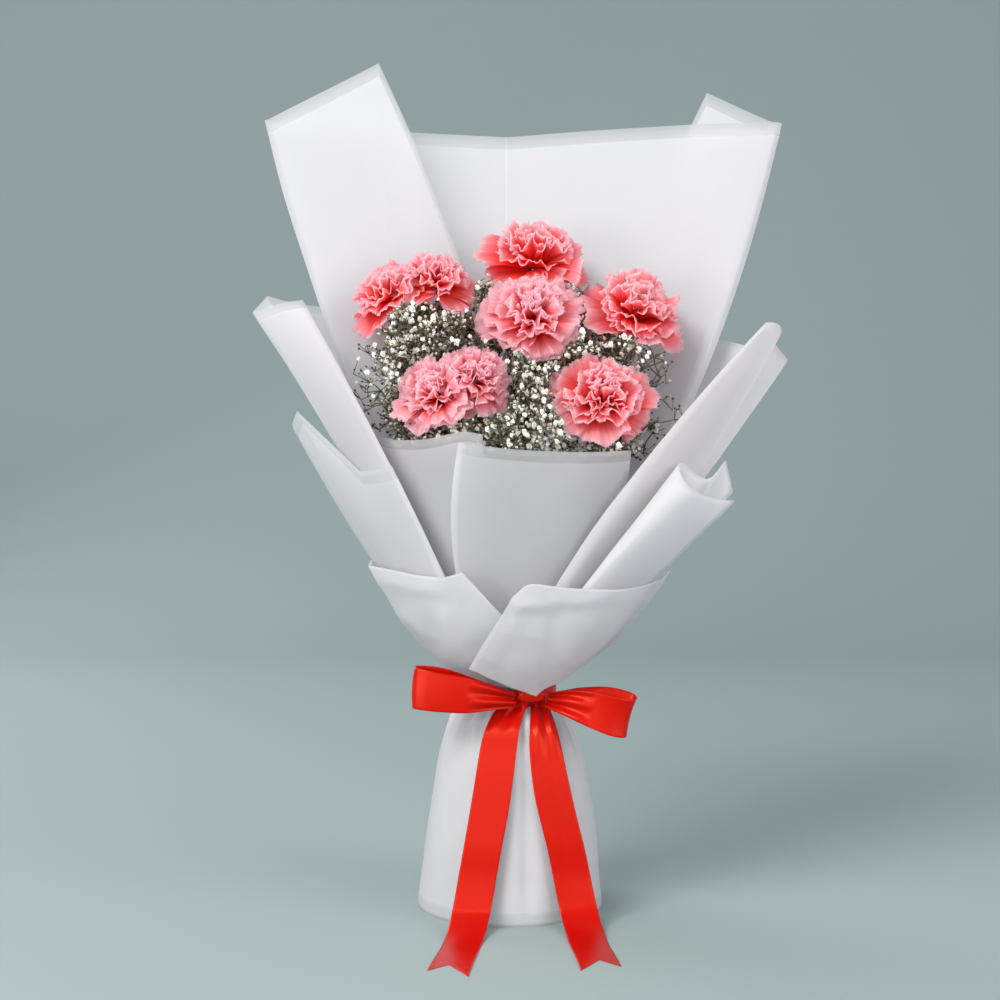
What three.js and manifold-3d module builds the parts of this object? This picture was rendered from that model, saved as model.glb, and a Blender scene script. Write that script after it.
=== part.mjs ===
// A hand-tied bunch of six carnations with gypsophila, wrapped in frosted sheets and tied with
// a satin ribbon. Millimetres, +Z up, z = 0 is the plane of the cut stem ends and the skirt's rim.
// The bunch faces -Y. Azimuths are in degrees: -90 is the front, 0 the right, 90 the back.

import * as THREE from 'three';
import { mergeVertices } from 'three/addons/utils/BufferGeometryUtils.js';
import Module from 'manifold-3d';

const wasm = await Module();
wasm.setup();

// ---------------------------------------------------------------- driving dimensions

const SHEET = 0.8;              // thickness of a wrapping sheet
const FOOT_Z = 139;             // lower end of the gathered sheets, under the ribbon band
const NECK_Z = 152;             // height at which the sheets start to flare
const FIRST_LAYER = 19.0;       // centreline radius of the innermost sheet at the tie
const LAYER_STEP = 1.3;         // radial step from one gathered sheet to the next
const SHEET_STEPS = 4;          // spans along a rail above the neck
const COLLAR_STEPS = 5;

const SKIRT_LAYER = 8;          // the skirt is the outermost gathered layer
const SKIRT_RIM = 63.4;         // radius of the skirt where it stands
const TURNS = 24;               // flat sides of the round pieces at the tie

const BAND_INNER = 30.9;        // ribbon band round the waist
const BAND_HEIGHT = 11.4;
const RIBBON = 25;              // ribbon width
const RIBBON_THICK = 0.8;
const NOTCH = 17;               // depth of the swallow-tail cut
const TAIL_CLEAR = 1.25;        // from the skirt to the middle of a hanging tail

const BINDING_INNER = 15.2;     // twine binding round the stems
const BINDING_OUTER = 18;
const BINDING_HEIGHT = 12;
const TIE_Z = 146;              // middle of the binding and of the band

const STEM_RADIUS = 2.5;
const STEM_WAIST = 10.2;        // radius at which the carnation stems cross the waist
const FOOT_REACH = 57;          // no stem end stands further out than this
const SPRAY_RADIUS = 1.3;
const SPRAY_WAIST = 4.3;
const CALYX_LENGTH = 26;
const CALYX_RADIUS = 7.2;

const PETAL = 0.7;              // petal thickness
const CORE_RADIUS = 11.5;       // dense heart that the petals stand out of
const DOME = 13;                // from the calyx mouth to the middle of the dome
const LOBE_SHIFT = 5;           // half the distance between the hearts of a two-lobed bloom
const BLOOM_REACH = 37.5;       // radius kept free round a bloom
const BLOOM_FLOOR = 1.0;        // a bloom starts this far above the calyx mouth

const FLORET_RADIUS = 3.4;
const BUD_RADIUS = 1.6;
const TWIG = 0.6;               // radius of a floret's stalk
const BRANCH = 0.8;             // radius of a branch from the fork to a hub
const JOINT = 2.6;              // radius of the node where twigs meet
const STALKS = 5;               // florets and buds at each hub

const GAP = 0.3;                // clearance between touching pieces
const SLIVER = 0.08;            // edges shorter than this are cleaned away after a join

// ---------------------------------------------------------------- small helpers

const vec = (x, y, z) => new THREE.Vector3(x, y, z);
const rad = THREE.MathUtils.degToRad;
const lerp = THREE.MathUtils.lerp;
const layerRadius = (layer) => FIRST_LAYER + layer * LAYER_STEP;

function polar(radius, degrees, z) {
  const turn = rad(degrees);
  return vec(radius * Math.cos(turn), radius * Math.sin(turn), z);
}

function seeded(seed) {
  let state = seed >>> 0;
  return () => {
    state = (state * 1664525 + 1013904223) >>> 0;
    return state / 4294967296;
  };
}

function solidFrom(geometry) {
  const bare = geometry.clone();
  bare.deleteAttribute('normal');
  bare.deleteAttribute('uv');
  const merged = mergeVertices(bare, 1e-4);
  return new wasm.Manifold(new wasm.Mesh({
    numProp: 3,
    vertProperties: new Float32Array(merged.attributes.position.array),
    triVerts: new Uint32Array(merged.index.array),
  }));
}

function geometryFrom(solid) {
  const mesh = solid.getMesh();
  const geometry = new THREE.BufferGeometry();
  const points = new Float32Array(mesh.numVert * 3);
  for (let i = 0; i < mesh.numVert; i += 1) {
    for (let k = 0; k < 3; k += 1) {
      points[3 * i + k] = mesh.vertProperties[mesh.numProp * i + k];
    }
  }
  geometry.setAttribute('position', new THREE.BufferAttribute(points, 3));
  geometry.setIndex(new THREE.BufferAttribute(new Uint32Array(mesh.triVerts), 1));
  geometry.computeVertexNormals();
  return geometry;
}

// Joins parts into one solid and keeps its largest connected body.
function fuse(parts) {
  const joined = wasm.Manifold.union(parts);
  const bodies = joined.decompose();
  bodies.sort((a, b) => b.volume() - a.volume());
  return bodies[0].simplify(SLIVER);
}

// A thin solid over a grid of points: rows[j][i] runs across in i and along in j. The grid is
// moved half the thickness to each side along its normals, with the same split on both faces.
function thinSolid(rows, thickness, closed = false) {
  const high = rows.length;
  const wide = rows[0].length;
  const pick = (j, i) => rows[j][closed ? (i + wide) % wide : Math.min(Math.max(i, 0), wide - 1)];
  const points = [];
  for (const side of [1, -1]) {
    for (let j = 0; j < high; j += 1) {
      for (let i = 0; i < wide; i += 1) {
        const across = pick(j, i + 1).clone().sub(pick(j, i - 1)).normalize();
        const along = rows[Math.min(j + 1, high - 1)][i].clone().sub(rows[Math.max(j - 1, 0)][i]).normalize();
        const normal = across.cross(along).normalize();
        points.push(rows[j][i].clone().addScaledVector(normal, side * thickness / 2));
      }
    }
  }
  const back = high * wide;
  const index = [];
  const spans = closed ? wide : wide - 1;
  const quad = (a, b, c, d) => index.push(a, b, c, a, c, d);
  for (let j = 0; j < high - 1; j += 1) {
    for (let i = 0; i < spans; i += 1) {
      const a = j * wide + i;
      const b = j * wide + (i + 1) % wide;
      const c = b + wide;
      const d = a + wide;
      index.push(a, b, c, a, c, d);
      index.push(back + a, back + c, back + b, back + a, back + d, back + c);
    }
  }
  for (let i = 0; i < spans; i += 1) {
    const next = (i + 1) % wide;
    const top = (high - 1) * wide;
    quad(back + i, back + next, next, i);
    quad(top + i, top + next, back + top + next, back + top + i);
  }
  if (!closed) {
    for (let j = 0; j < high - 1; j += 1) {
      const right = j * wide + wide - 1;
      quad(back + right, back + right + wide, right + wide, right);
      quad(j * wide, (j + 1) * wide, back + (j + 1) * wide, back + j * wide);
    }
  }
  const geometry = new THREE.BufferGeometry().setFromPoints(points);
  geometry.setIndex(index);
  return geometry;
}

const bunch = new THREE.Group();

function addPiece(name, geometry, finish) {
  geometry.computeVertexNormals();
  const mesh = new THREE.Mesh(geometry, new THREE.MeshStandardMaterial(finish));
  mesh.name = name;
  bunch.add(mesh);
}

const PAPER = { color: 0xe4e3e8, roughness: 0.6, metalness: 0 };
const SATIN = { color: 0xdf2418, roughness: 0.35, metalness: 0 };
const GREEN = { color: 0x6f8f5c, roughness: 0.6, metalness: 0 };
const PINK = { color: 0xf78f9c, roughness: 0.7, metalness: 0 };
const FLORET = { color: 0xe9e7dc, roughness: 0.7, metalness: 0 };
const TWINE = { color: 0xb9a27a, roughness: 0.9, metalness: 0 };

// ---------------------------------------------------------------- wrapping sheets

// A sheet is spanned by rails. Each rail rises from the gathered waist (azimuth, layer), passes
// its middle point and ends on the sheet's upper edge. A sharp rail marks a crease.
const rail = (azimuth, layer, mid, top, sharp = false) => ({
  azimuth, layer, mid: vec(...mid), top: vec(...top), sharp,
});

const SHEETS = {
  sheet_back: {
    steps: 5,
    across: [2, 1, 1, 1, 1, 1, 3, 4, 4, 3, 1, 1, 1, 2],
    rails: [
      rail(-258, 0, [-12, 40, 262], [2, 46, 372]),
      rail(-226, 0, [-33, 34, 292], [-33, 46, 442]),
      rail(-210, 0, [-56, 32, 336], [-68, 46, 532]),
      rail(-200, 0, [-70, 27, 354], [-91, 38, 582]),
      rail(-184, 0, [-103, 19, 344], [-168, 41, 544]),
      rail(-188, 0.5, [-107, 22, 344], [-173, 45, 543], true),
      rail(-184, 1, [-103, 26, 344], [-168, 51, 543]),
      rail(-222, 1, [-56, 52, 342], [-86, 76, 541]),
      rail(-271, 1, [-2, 68, 342], [-2, 98, 540], true),
      rail(-318, 1, [62, 56, 342], [100, 78, 544]),
      rail(-356, 1, [122, 25, 344], [187, 46, 542]),
      rail(-352, 1.5, [127, 29, 344], [192, 51, 542], true),
      rail(-356, 2, [121, 34, 344], [185, 59, 545]),
      rail(-342, 2, [104, 52, 350], [143, 84, 570]),
      rail(-322, 2, [74, 64, 320], [106, 88, 492]),
    ],
  },
  sheet_left_outer: {
    across: [2, 2, 1, 1, 3],
    rails: [
      rail(-118, 3, [-62, -59, 270], [-140, -12, 413]),
      rail(-140, 3, [-80, -42, 276], [-158, -8, 414]),
      rail(-162, 3, [-94, -18, 278], [-176, 2, 406]),
      rail(-170, 3, [-96, -6, 280], [-173, 12, 412]),
      rail(-182, 3, [-92, 12, 284], [-152, 36, 420]),
      rail(-208, 3, [-76, 40, 286], [-122, 60, 414]),
    ],
  },
  sheet_left_flap: {
    across: [2, 2, 2, 2, 3],
    rails: [
      rail(-122, 4, [-39, -57.3, 219], [-77, -58, 302]),
      rail(-140, 4, [-52.5, -42.5, 219], [-88, -46.5, 299]),
      rail(-156, 4, [-70, -27, 226], [-100, -34.5, 298]),
      rail(-172, 4, [-84, -12, 232], [-144, -12, 338]),
      rail(-182, 4, [-88, 4, 226], [-148, 4, 326]),
      rail(-212, 4, [-72, 42, 226], [-122, 56, 310]),
    ],
  },
  sheet_front_left: {
    across: [3, 2, 2, 1],
    rails: [
      rail(-172, 1, [-62, -4, 232], [-92, -8, 322]),
      rail(-146, 1, [-51, -31, 232], [-80, -40, 319]),
      rail(-124, 1, [-37, -45, 232], [-56, -64, 319]),
      rail(-106, 1, [-21, -51, 232], [-30, -75, 324]),
      rail(-98, 1, [-13, -53, 232], [-18, -79, 322]),
    ],
  },
  sheet_front: {
    across: [3, 4, 3],
    rails: [
      rail(-116, 2, [-36, -55, 234], [-33, -85, 317]),
      rail(-98, 2, [-12, -64, 231], [0, -91, 313]),
      rail(-64, 2, [34, -64, 232], [46, -90, 311]),
      rail(-32, 2, [62, -45, 240], [77, -77, 312]),
    ],
  },
  sheet_right_roll: {
    across: [3, 2, 1, 1, 2, 2, 2],
    rails: [
      rail(-95, 3, [53, -77, 262], [170, -40, 397]),
      rail(-62, 3, [84, -61, 262], [177, -31, 395]),
      rail(-30, 3, [100, -39, 262], [182, -21, 391]),
      rail(-20, 3, [102, -28, 260], [179, -14, 384]),
      rail(-8, 3, [106, -14, 258], [188, -6, 373]),
      rail(8, 3, [104, 12, 262], [178, 20, 378]),
      rail(26, 3, [92, 36, 264], [162, 42, 386]),
      rail(50, 3, [66, 60, 266], [126, 76, 396]),
    ],
  },
  sheet_lower_right_roll: {
    across: [1, 4, 1, 1, 4],
    rails: [
      rail(-36, 4, [88.5, -41.5, 224], [147, -42.5, 284]),
      rail(-40, 4, [87, -44, 224], [142, -44, 306]),
      rail(-90, 4, [50, -72, 223], [114, -68, 303]),
      rail(-96, 4.5, [45, -76, 222], [110, -74, 301], true),
      rail(-90, 5, [49, -78, 221], [113, -79, 299]),
      rail(-40, 5, [90, -50, 222], [147, -52, 279]),
    ],
  },
  collar_left: {
    across: [2, 2, 3, 1, 2, 1],
    rails: [
      rail(-224, 6, [-52, 42, 184], [-76, 54, 226]),
      rail(-198, 6, [-63, 15, 185], [-94, 23, 235]),
      rail(-176, 6, [-64.5, -10, 184], [-95, -16, 234]),
      rail(-128, 6, [-40, -46.5, 183], [-46, -70, 230]),
      rail(-112, 6, [-30, -56, 183], [-31, -80, 234]),
      rail(-92, 6, [-9, -56, 177], [-8, -77, 209]),
      rail(-78, 6, [7, -53, 172], [8, -68, 194]),
    ],
  },
};

// Smooth curve through a list of points, straight at its ends and at creases.
function smooth(points, sharp, span, t) {
  const a = points[span];
  const b = points[span + 1];
  const chord = b.clone().sub(a);
  const length = chord.length();
  const tangent = (i) => {
    if (i === 0 || i === points.length - 1 || sharp[i]) {
      return chord.clone();
    }
    return points[i + 1].clone().sub(points[i - 1]).setLength(length);
  };
  const t2 = t * t;
  const t3 = t2 * t;
  return a.clone().multiplyScalar(2 * t3 - 3 * t2 + 1)
    .addScaledVector(tangent(span), t3 - 2 * t2 + t)
    .addScaledVector(b, 3 * t2 - 2 * t3)
    .addScaledVector(tangent(span + 1), t3 - t2);
}

// The point of a rail at height share v: 0 is the neck, 1 the upper edge.
function alongRail(neck, mid, top, v) {
  const control = mid.clone().multiplyScalar(2).addScaledVector(neck, -0.5).addScaledVector(top, -0.5);
  return neck.clone().multiplyScalar((1 - v) * (1 - v))
    .addScaledVector(control, 2 * v * (1 - v))
    .addScaledVector(top, v * v);
}

function sheetRows({ across, rails }, steps) {
  const sharp = rails.map((r) => r.sharp);
  const mids = rails.map((r) => r.mid);
  const tops = rails.map((r) => r.top);
  const columns = [];
  rails.forEach((r, span) => {
    const count = span < rails.length - 1 ? across[span] : 1;
    for (let k = 0; k < count; k += 1) {
      const t = k / count;
      const next = rails[Math.min(span + 1, rails.length - 1)];
      const azimuth = lerp(r.azimuth, next.azimuth, t);
      const radius = layerRadius(lerp(r.layer, next.layer, t));
      const last = span === rails.length - 1;
      columns.push({
        foot: polar(radius, azimuth, FOOT_Z),
        neck: polar(radius, azimuth, NECK_Z),
        mid: last ? r.mid : smooth(mids, sharp, span, t),
        top: last ? r.top : smooth(tops, sharp, span, t),
      });
    }
  });
  const rows = [columns.map((c) => c.foot)];
  for (let j = 0; j <= steps; j += 1) {
    rows.push(columns.map((c) => alongRail(c.neck, c.mid, c.top, (j / steps) ** 1.25)));
  }
  return rows;
}

for (const [name, sheet] of Object.entries(SHEETS)) {
  addPiece(name, thinSolid(sheetRows(sheet, sheet.steps ?? SHEET_STEPS), SHEET), PAPER);
}

// The right collar hangs free at its front: its lower edge comes to a point over the knot.
const COLLAR_POINT = [
  { low: [-27, -55, 169], mid: [-14, -73, 193], top: [2, -84, 218] },
  { low: [-4, -54, 160], mid: [3, -76, 189], top: [11, -90, 227] },
  { low: [17, -51, 153], mid: [21, -76, 186], top: [26, -90, 226] },
  { low: [37, -50, 164], mid: [42, -73, 190], top: [48, -87, 224] },
  { low: [45, -38, 167], mid: [64, -58, 190], top: [72, -77, 223] },
];
const COLLAR_SIDE = [
  rail(-24, 7, [67, -30, 184], [96, -50, 226]),
  rail(-6, 7, [73, -9.5, 184], [108, -14, 230]),
  rail(20, 7, [67, 26, 184], [96, 34, 226]),
  rail(44, 7, [50, 48, 182], [72, 64, 220]),
];

function collarRows(steps) {
  const front = COLLAR_POINT.map(({ low, mid, top }) => ({
    low: vec(...low), mid: vec(...mid), top: vec(...top),
  }));
  const side = COLLAR_SIDE.map((r) => ({
    low: polar(layerRadius(r.layer), r.azimuth, NECK_Z), mid: r.mid, top: r.top,
  }));
  const rails = [...front, ...side];
  const soft = rails.map(() => false);
  const list = (key) => rails.map((r) => r[key]);
  const columns = [];
  for (let span = 0; span < rails.length - 1; span += 1) {
    const count = span < front.length ? 1 : 2;
    for (let k = 0; k < count; k += 1) {
      columns.push({
        low: smooth(list('low'), soft, span, k / count),
        mid: smooth(list('mid'), soft, span, k / count),
        top: smooth(list('top'), soft, span, k / count),
      });
    }
  }
  columns.push(rails[rails.length - 1]);
  const rows = [];
  for (let j = 0; j <= steps; j += 1) {
    rows.push(columns.map((c) => alongRail(c.low, c.mid, c.top, j / steps)));
  }
  return rows;
}

addPiece('collar_right', thinSolid(collarRows(COLLAR_STEPS), SHEET), PAPER);

// ---------------------------------------------------------------- skirt

// Radius of the skirt by height, flaring quickly under the tie and slowly to the rim.
const SKIRT_PROFILE = [
  [FOOT_Z + 12.4, layerRadius(SKIRT_LAYER)],
  [FOOT_Z + 1, layerRadius(SKIRT_LAYER)],
  [131, 41.5],
  [104, 50.2],
  [50, 58.8],
  [0, SKIRT_RIM],
];

function skirtRadius(z) {
  for (let i = 1; i < SKIRT_PROFILE.length; i += 1) {
    const [z0, r0] = SKIRT_PROFILE[i - 1];
    const [z1, r1] = SKIRT_PROFILE[i];
    if (z >= z1) {
      return lerp(r1, r0, Math.min(1, (z - z1) / (z0 - z1)));
    }
  }
  return SKIRT_RIM;
}

function ringRows(profile) {
  return profile.map(([z, r]) => Array.from({ length: TURNS }, (_, i) => (
    polar(r, -90 + (i * 360) / TURNS, z))));
}

function skirtGeometry() {
  const rows = ringRows([...SKIRT_PROFILE].reverse());
  const geometry = thinSolid(rows, SHEET, true);
  const position = geometry.attributes.position;
  for (let i = 0; i < position.count; i += 1) {
    if (position.getZ(i) < SHEET) {
      position.setZ(i, 0);
    }
  }
  return geometry;
}

addPiece('skirt', skirtGeometry(), PAPER);

// ---------------------------------------------------------------- binding and ribbon

// A ring with flat walls, from its inner and outer radius, its lower end and its height.
function ringGeometry(inner, outer, low, height) {
  const profile = [[inner, 0], [outer, 0], [outer, height], [inner, height], [inner, 0]];
  const geometry = new THREE.LatheGeometry(profile.map(([r, z]) => new THREE.Vector2(r, z)), TURNS);
  geometry.rotateX(Math.PI / 2);
  geometry.rotateZ(Math.PI / 2);
  geometry.translate(0, 0, low);
  return geometryFrom(solidFrom(geometry));
}

const bindingLow = TIE_Z - BINDING_HEIGHT / 2;
addPiece('stem_binding', ringGeometry(BINDING_INNER, BINDING_OUTER, bindingLow, BINDING_HEIGHT), TWINE);

const bandLow = TIE_Z - BAND_HEIGHT / 2 - 0.7;
addPiece('ribbon_band', ringGeometry(BAND_INNER, BAND_INNER + RIBBON_THICK, bandLow, BAND_HEIGHT), SATIN);

// The knot is a rounded block in front of the band.
const KNOT = { x: 14, y: -37.8, z: 145.2, wide: 20, deep: 10.4, high: 11.6 };

function knotGeometry() {
  const geometry = new THREE.SphereGeometry(0.5, 10, 6);
  const position = geometry.attributes.position;
  const boxy = (t) => Math.sign(t) * Math.abs(2 * t) ** 0.7 / 2;
  for (let i = 0; i < position.count; i += 1) {
    position.setXYZ(i,
      KNOT.x + KNOT.wide * boxy(position.getX(i)),
      KNOT.y + KNOT.deep * boxy(position.getY(i)),
      KNOT.z + KNOT.high * boxy(position.getZ(i)));
  }
  return geometryFrom(solidFrom(geometry));
}

addPiece('ribbon_knot', knotGeometry(), SATIN);

// A loop is a strip that leaves the knot, rounds its outer end and comes back. Each station
// gives the plan position, the middle height and the width of the strip there.
const LOOP_LEFT = [
  [3.2, -41.0, 146, 10], [-10, -48.0, 148.5, 16], [-28, -54.5, 151, 23], [-48, -56.5, 153.5, 25.5],
  [-61, -53.5, 155.5, 27], [-63.5, -48.5, 156, 27], [-59, -44.5, 156.5, 26], [-44, -43.2, 155.5, 24],
  [-24, -42.6, 152, 17], [-10, -40.6, 148.8, 12], [3.2, -38.4, 146, 9.5],
];
const LOOP_RIGHT = [
  [24.8, -41.0, 146, 10], [38, -50.5, 145.4, 17], [54, -56.0, 141.8, 23], [68, -56.5, 137.5, 25.5],
  [77.5, -53.0, 135.6, 26], [80, -48.0, 136.6, 26], [76, -44.0, 139.2, 26], [62, -43.6, 143.6, 24],
  [44, -44.0, 147.0, 16], [35, -41.0, 147.0, 12], [24.8, -38.0, 146.0, 9.5],
];

function loopGeometry(stations, lean) {
  const low = [];
  const high = [];
  for (const [x, y, z, width] of stations) {
    const half = width / 2;
    low.push(vec(x - lean * half, y - 0.1 * half, z - half));
    high.push(vec(x + lean * half, y + 0.1 * half, z + half));
  }
  return thinSolid([low, high], RIBBON_THICK);
}

addPiece('ribbon_loop_left', loopGeometry(LOOP_LEFT, 0.06), SATIN);
addPiece('ribbon_loop_right', loopGeometry(LOOP_RIGHT, 0.28), SATIN);

// A tail comes from under the knot, drapes over the front of the skirt and ends flat on the
// surface that the bunch stands on, with a swallow-tail notch. Stations: height, middle x, width
// above the surface; then distance in front, middle x, width on it.
const TAILS = {
  ribbon_tail_left: {
    turn: -4,
    hanging: [[138.8, 9, 9], [131, 2, 16], [118, -5.5, 21], [100, -10, 24], [82, -13, RIBBON],
      [56, -17.5, RIBBON], [34, -21, RIBBON], [18, -24, RIBBON], [7, -26.5, RIBBON], [1.6, -28.5, RIBBON]],
    lying: [[-84, -30, RIBBON], [-110, -34, RIBBON], [-134, -37.4, RIBBON], [-160, -40.5, RIBBON]],
  },
  ribbon_tail_right: {
    turn: 10,
    hanging: [[138.8, 19.5, 9], [131, 21, 14], [118, 23, 19], [100, 26, 23], [82, 28.5, RIBBON],
      [56, 34, RIBBON], [34, 39, RIBBON], [18, 42.5, RIBBON], [7, 45, RIBBON], [1.6, 46.5, RIBBON]],
    lying: [[-84, 48.5, RIBBON], [-108, 51.5, RIBBON], [-130, 54, RIBBON], [-152, 56.5, RIBBON]],
  },
};

// Distance in front of the axis at which a strip of this width, turned about the vertical,
// just clears the skirt.
function clearOfSkirt(z, x, width, turn) {
  const outer = skirtRadius(z) + SHEET / 2;
  let front = 0;
  for (const side of [-1, -0.5, 0, 0.5, 1]) {
    const along = (side * width) / 2;
    const px = x + along * Math.cos(rad(turn));
    const depth = Math.sqrt(Math.max(0, outer * outer - px * px)) + along * Math.sin(rad(turn));
    front = Math.max(front, depth);
  }
  return -(front + TAIL_CLEAR);
}

function tailGeometry({ turn, hanging, lying }) {
  const rows = [];
  const c = Math.cos(rad(turn));
  const s = Math.sin(rad(turn));
  const lift = (z) => Math.max(0, (30 - z) / 30) ** 2 * 7 + Math.max(0, (z - 131) / 8) ** 2 * 4.5;
  const strip = (x, y, z, width) => [-1, 0, 1].map((side) => (
    vec(x + side * 0.5 * width * c, y + side * 0.5 * width * s, z)));
  for (const [z, x, width] of hanging) {
    rows.push(strip(x, clearOfSkirt(z, x, width, turn) - lift(z), z, width));
  }
  for (const [y, x, width] of lying) {
    rows.push(strip(x, y, RIBBON_THICK / 2, width));
  }
  rows[rows.length - 1][1].y += NOTCH;
  const geometry = thinSolid(rows, RIBBON_THICK);
  const position = geometry.attributes.position;
  for (let i = 0; i < position.count; i += 1) {
    position.setZ(i, Math.max(0, position.getZ(i)));
  }
  return geometry;
}

for (const [name, tail] of Object.entries(TAILS)) {
  addPiece(name, tailGeometry(tail), SATIN);
}

// ---------------------------------------------------------------- blooms

// Each bloom: the middle of its dome, the way it faces, and its lobes (azimuth of the cleft).
const BLOOMS = [
  { name: 'top', centre: [18, 26, 447], face: [0.05, -0.42, 0.9], lobes: 1, seed: 11 },
  { name: 'middle', centre: [12.5, -26, 402], face: [0.0, -0.78, 0.62], lobes: 1, seed: 23 },
  { name: 'right', centre: [87, 0, 407], face: [0.28, -0.58, 0.76], lobes: 1, seed: 37 },
  { name: 'lower_right', centre: [62, -50, 347], face: [0.1, -0.74, 0.66], lobes: 1, seed: 41 },
  { name: 'lower_left', centre: [-41, -48, 352], face: [-0.06, -0.72, 0.7], lobes: 2, seed: 59 },
  { name: 'top_left', centre: [-66, -9, 422], face: [-0.2, -0.42, 0.88], lobes: 2, seed: 61 },
];

// Rings of petals from the outside in: length along the petal, its lean from the bloom's axis at
// the foot and at the edge, the width of its edge and how far the ring is turned.
const PETAL_RINGS = [
  { count: 6, length: 32, from: 62, to: 98, width: 29, turn: 0, columns: 4 },
  { count: 5, length: 29, from: 34, to: 62, width: 22, turn: 25, columns: 3 },
  { count: 3, length: 25, from: 8, to: 26, width: 15, turn: 50, columns: 2 },
];

// A petal leaves the heart of the bloom on a narrow claw and opens to a pinked fan.
function petalSolid({ length, from, to, width, columns }, azimuth, random) {
  const steps = 2;
  const wave = lerp(1.2, 2.6, random());
  const phase = random() * Math.PI * 2;
  const rows = [];
  let rho = 3.5;
  let height = 4;
  let previous = 0;
  for (let j = 0; j <= steps; j += 1) {
    const s = j / steps;
    const angle = rad(lerp(from, to, s));
    rho += Math.sin(angle) * length * (s - previous);
    height += Math.cos(angle) * length * (s - previous);
    previous = s;
    const half = lerp(3.2, width / 2, s ** 0.8);
    const row = [];
    for (let i = 0; i <= columns; i += 1) {
      const u = (i / columns) * 2 - 1;
      const tooth = j === steps ? (i % 2 ? 1.4 : -0.6) : 0;
      const back = -0.16 * length * s * u * u + tooth;
      const ripple = wave * s * Math.sin(phase + u * 4.2);
      const out = rho + back * Math.sin(angle) + ripple * Math.cos(angle);
      const up = height + back * Math.cos(angle) - ripple * Math.sin(angle) + 1.5 * s * u * u;
      row.push(vec(out, half * u, up));
    }
    rows.push(row);
  }
  const geometry = thinSolid(rows, PETAL);
  geometry.rotateZ(azimuth);
  return geometry;
}

function bloomSolid({ lobes, seed }) {
  const random = seeded(seed);
  const parts = [];
  const core = new THREE.IcosahedronGeometry(CORE_RADIUS);
  core.computeBoundingBox();
  core.translate(0, 0, -core.boundingBox.min.z);
  parts.push(solidFrom(core));
  for (let lobe = 0; lobe < lobes; lobe += 1) {
    const side = lobes === 1 ? 0 : lobe * 2 - 1;
    for (const ring of PETAL_RINGS) {
      const count = lobes === 1 ? ring.count : Math.floor(ring.count / 2);
      for (let k = 0; k < count; k += 1) {
        const half = (side < 0 ? 90 : -90) + ((k + 0.5) / count) * 180;
        const spread = lobes === 1 ? (k / count) * 360 + ring.turn : half;
        const azimuth = rad(spread + (random() - 0.5) * 5);
        const tilt = (random() - 0.5) * 6 + (lobes === 2 ? 4 : 0);
        const petal = petalSolid({ ...ring, from: ring.from + tilt, to: ring.to + tilt }, azimuth, random);
        petal.translate(side * LOBE_SHIFT, 0, 0);
        parts.push(solidFrom(petal));
      }
    }
  }
  const upperSide = new THREE.BoxGeometry(200, 200, 100);
  upperSide.translate(0, 0, 50 + BLOOM_FLOOR);
  return fuse(parts).intersect(solidFrom(upperSide));
}

// Turns a piece built along +Z so that it faces the given way, with its base at a point.
function placed(geometry, base, face) {
  const turn = new THREE.Quaternion().setFromUnitVectors(vec(0, 0, 1), face);
  return geometry.applyQuaternion(turn).translate(base.x, base.y, base.z);
}

// ---------------------------------------------------------------- carnation stems

// A tube with flat sides along a curve.
function tube(points, radius, sides, steps) {
  const section = new THREE.Shape();
  for (let i = 0; i < sides; i += 1) {
    const a = (i / sides) * Math.PI * 2;
    const corner = [radius * Math.cos(a), radius * Math.sin(a)];
    if (i === 0) {
      section.moveTo(...corner);
    } else {
      section.lineTo(...corner);
    }
  }
  section.closePath();
  const path = new THREE.CatmullRomCurve3(points, false, 'centripetal');
  return new THREE.ExtrudeGeometry(section, { steps, bevelEnabled: false, extrudePath: path });
}

const aboveGround = () => {
  const block = new THREE.BoxGeometry(600, 600, 600);
  block.translate(0, 0, 300);
  return solidFrom(block);
};

// Routes already threaded through the binding, as points with the radius kept clear.
const threaded = [];

function clearOfThreaded(points, radius) {
  return threaded.every((other) => points.every((p) => other.points.every((q) => (
    p.distanceTo(q) > radius + other.radius + 0.6))));
}

const sampled = (points, count) => new THREE.CatmullRomCurve3(points, false, 'centripetal').getPoints(count);

// Small angles either side of zero, nearest first.
const swing = (step, count) => Array.from({ length: count }, (_, k) => (
  (k % 2 ? 1 : -1) * Math.ceil(k / 2) * step));

// A stem runs from the ground through the binding to below its head. Of the lines that cross the
// waist at the given radii, the straightest that clears every other stem is taken, so the stems
// turn round each other as in a hand-tied spiral. Only a thin stem may bend at the waist.
function threadStem(target, radius, waists, kinks, ending) {
  const reach = Math.hypot(target.x, target.y);
  for (const kink of swing(15, kinks)) {
    for (const waist of waists) {
      const tangent = Math.atan2(target.y, target.x) + Math.acos(Math.min(0.98, waist / reach));
      for (const turn of swing(12, 30)) {
        const cross = polar(waist, THREE.MathUtils.radToDeg(tangent) + turn, TIE_Z);
        const rise = target.clone().sub(cross);
        const fall = rise.clone().applyAxisAngle(vec(0, 0, 1), rad(kink)).multiplyScalar(-1 / rise.z);
        const low = (z) => cross.clone().addScaledVector(fall, TIE_Z - z);
        const high = (share) => cross.clone().addScaledVector(rise, share);
        const route = [low(-4), low(70), cross, high(0.42), high(0.82), ...ending];
        const points = sampled(route, 90);
        const foot = low(0);
        if (Math.hypot(foot.x, foot.y) < FOOT_REACH && clearOfThreaded(points, radius)) {
          threaded.push({ points, radius });
          return route;
        }
      }
    }
  }
  throw new Error('no room for a stem');
}

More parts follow.
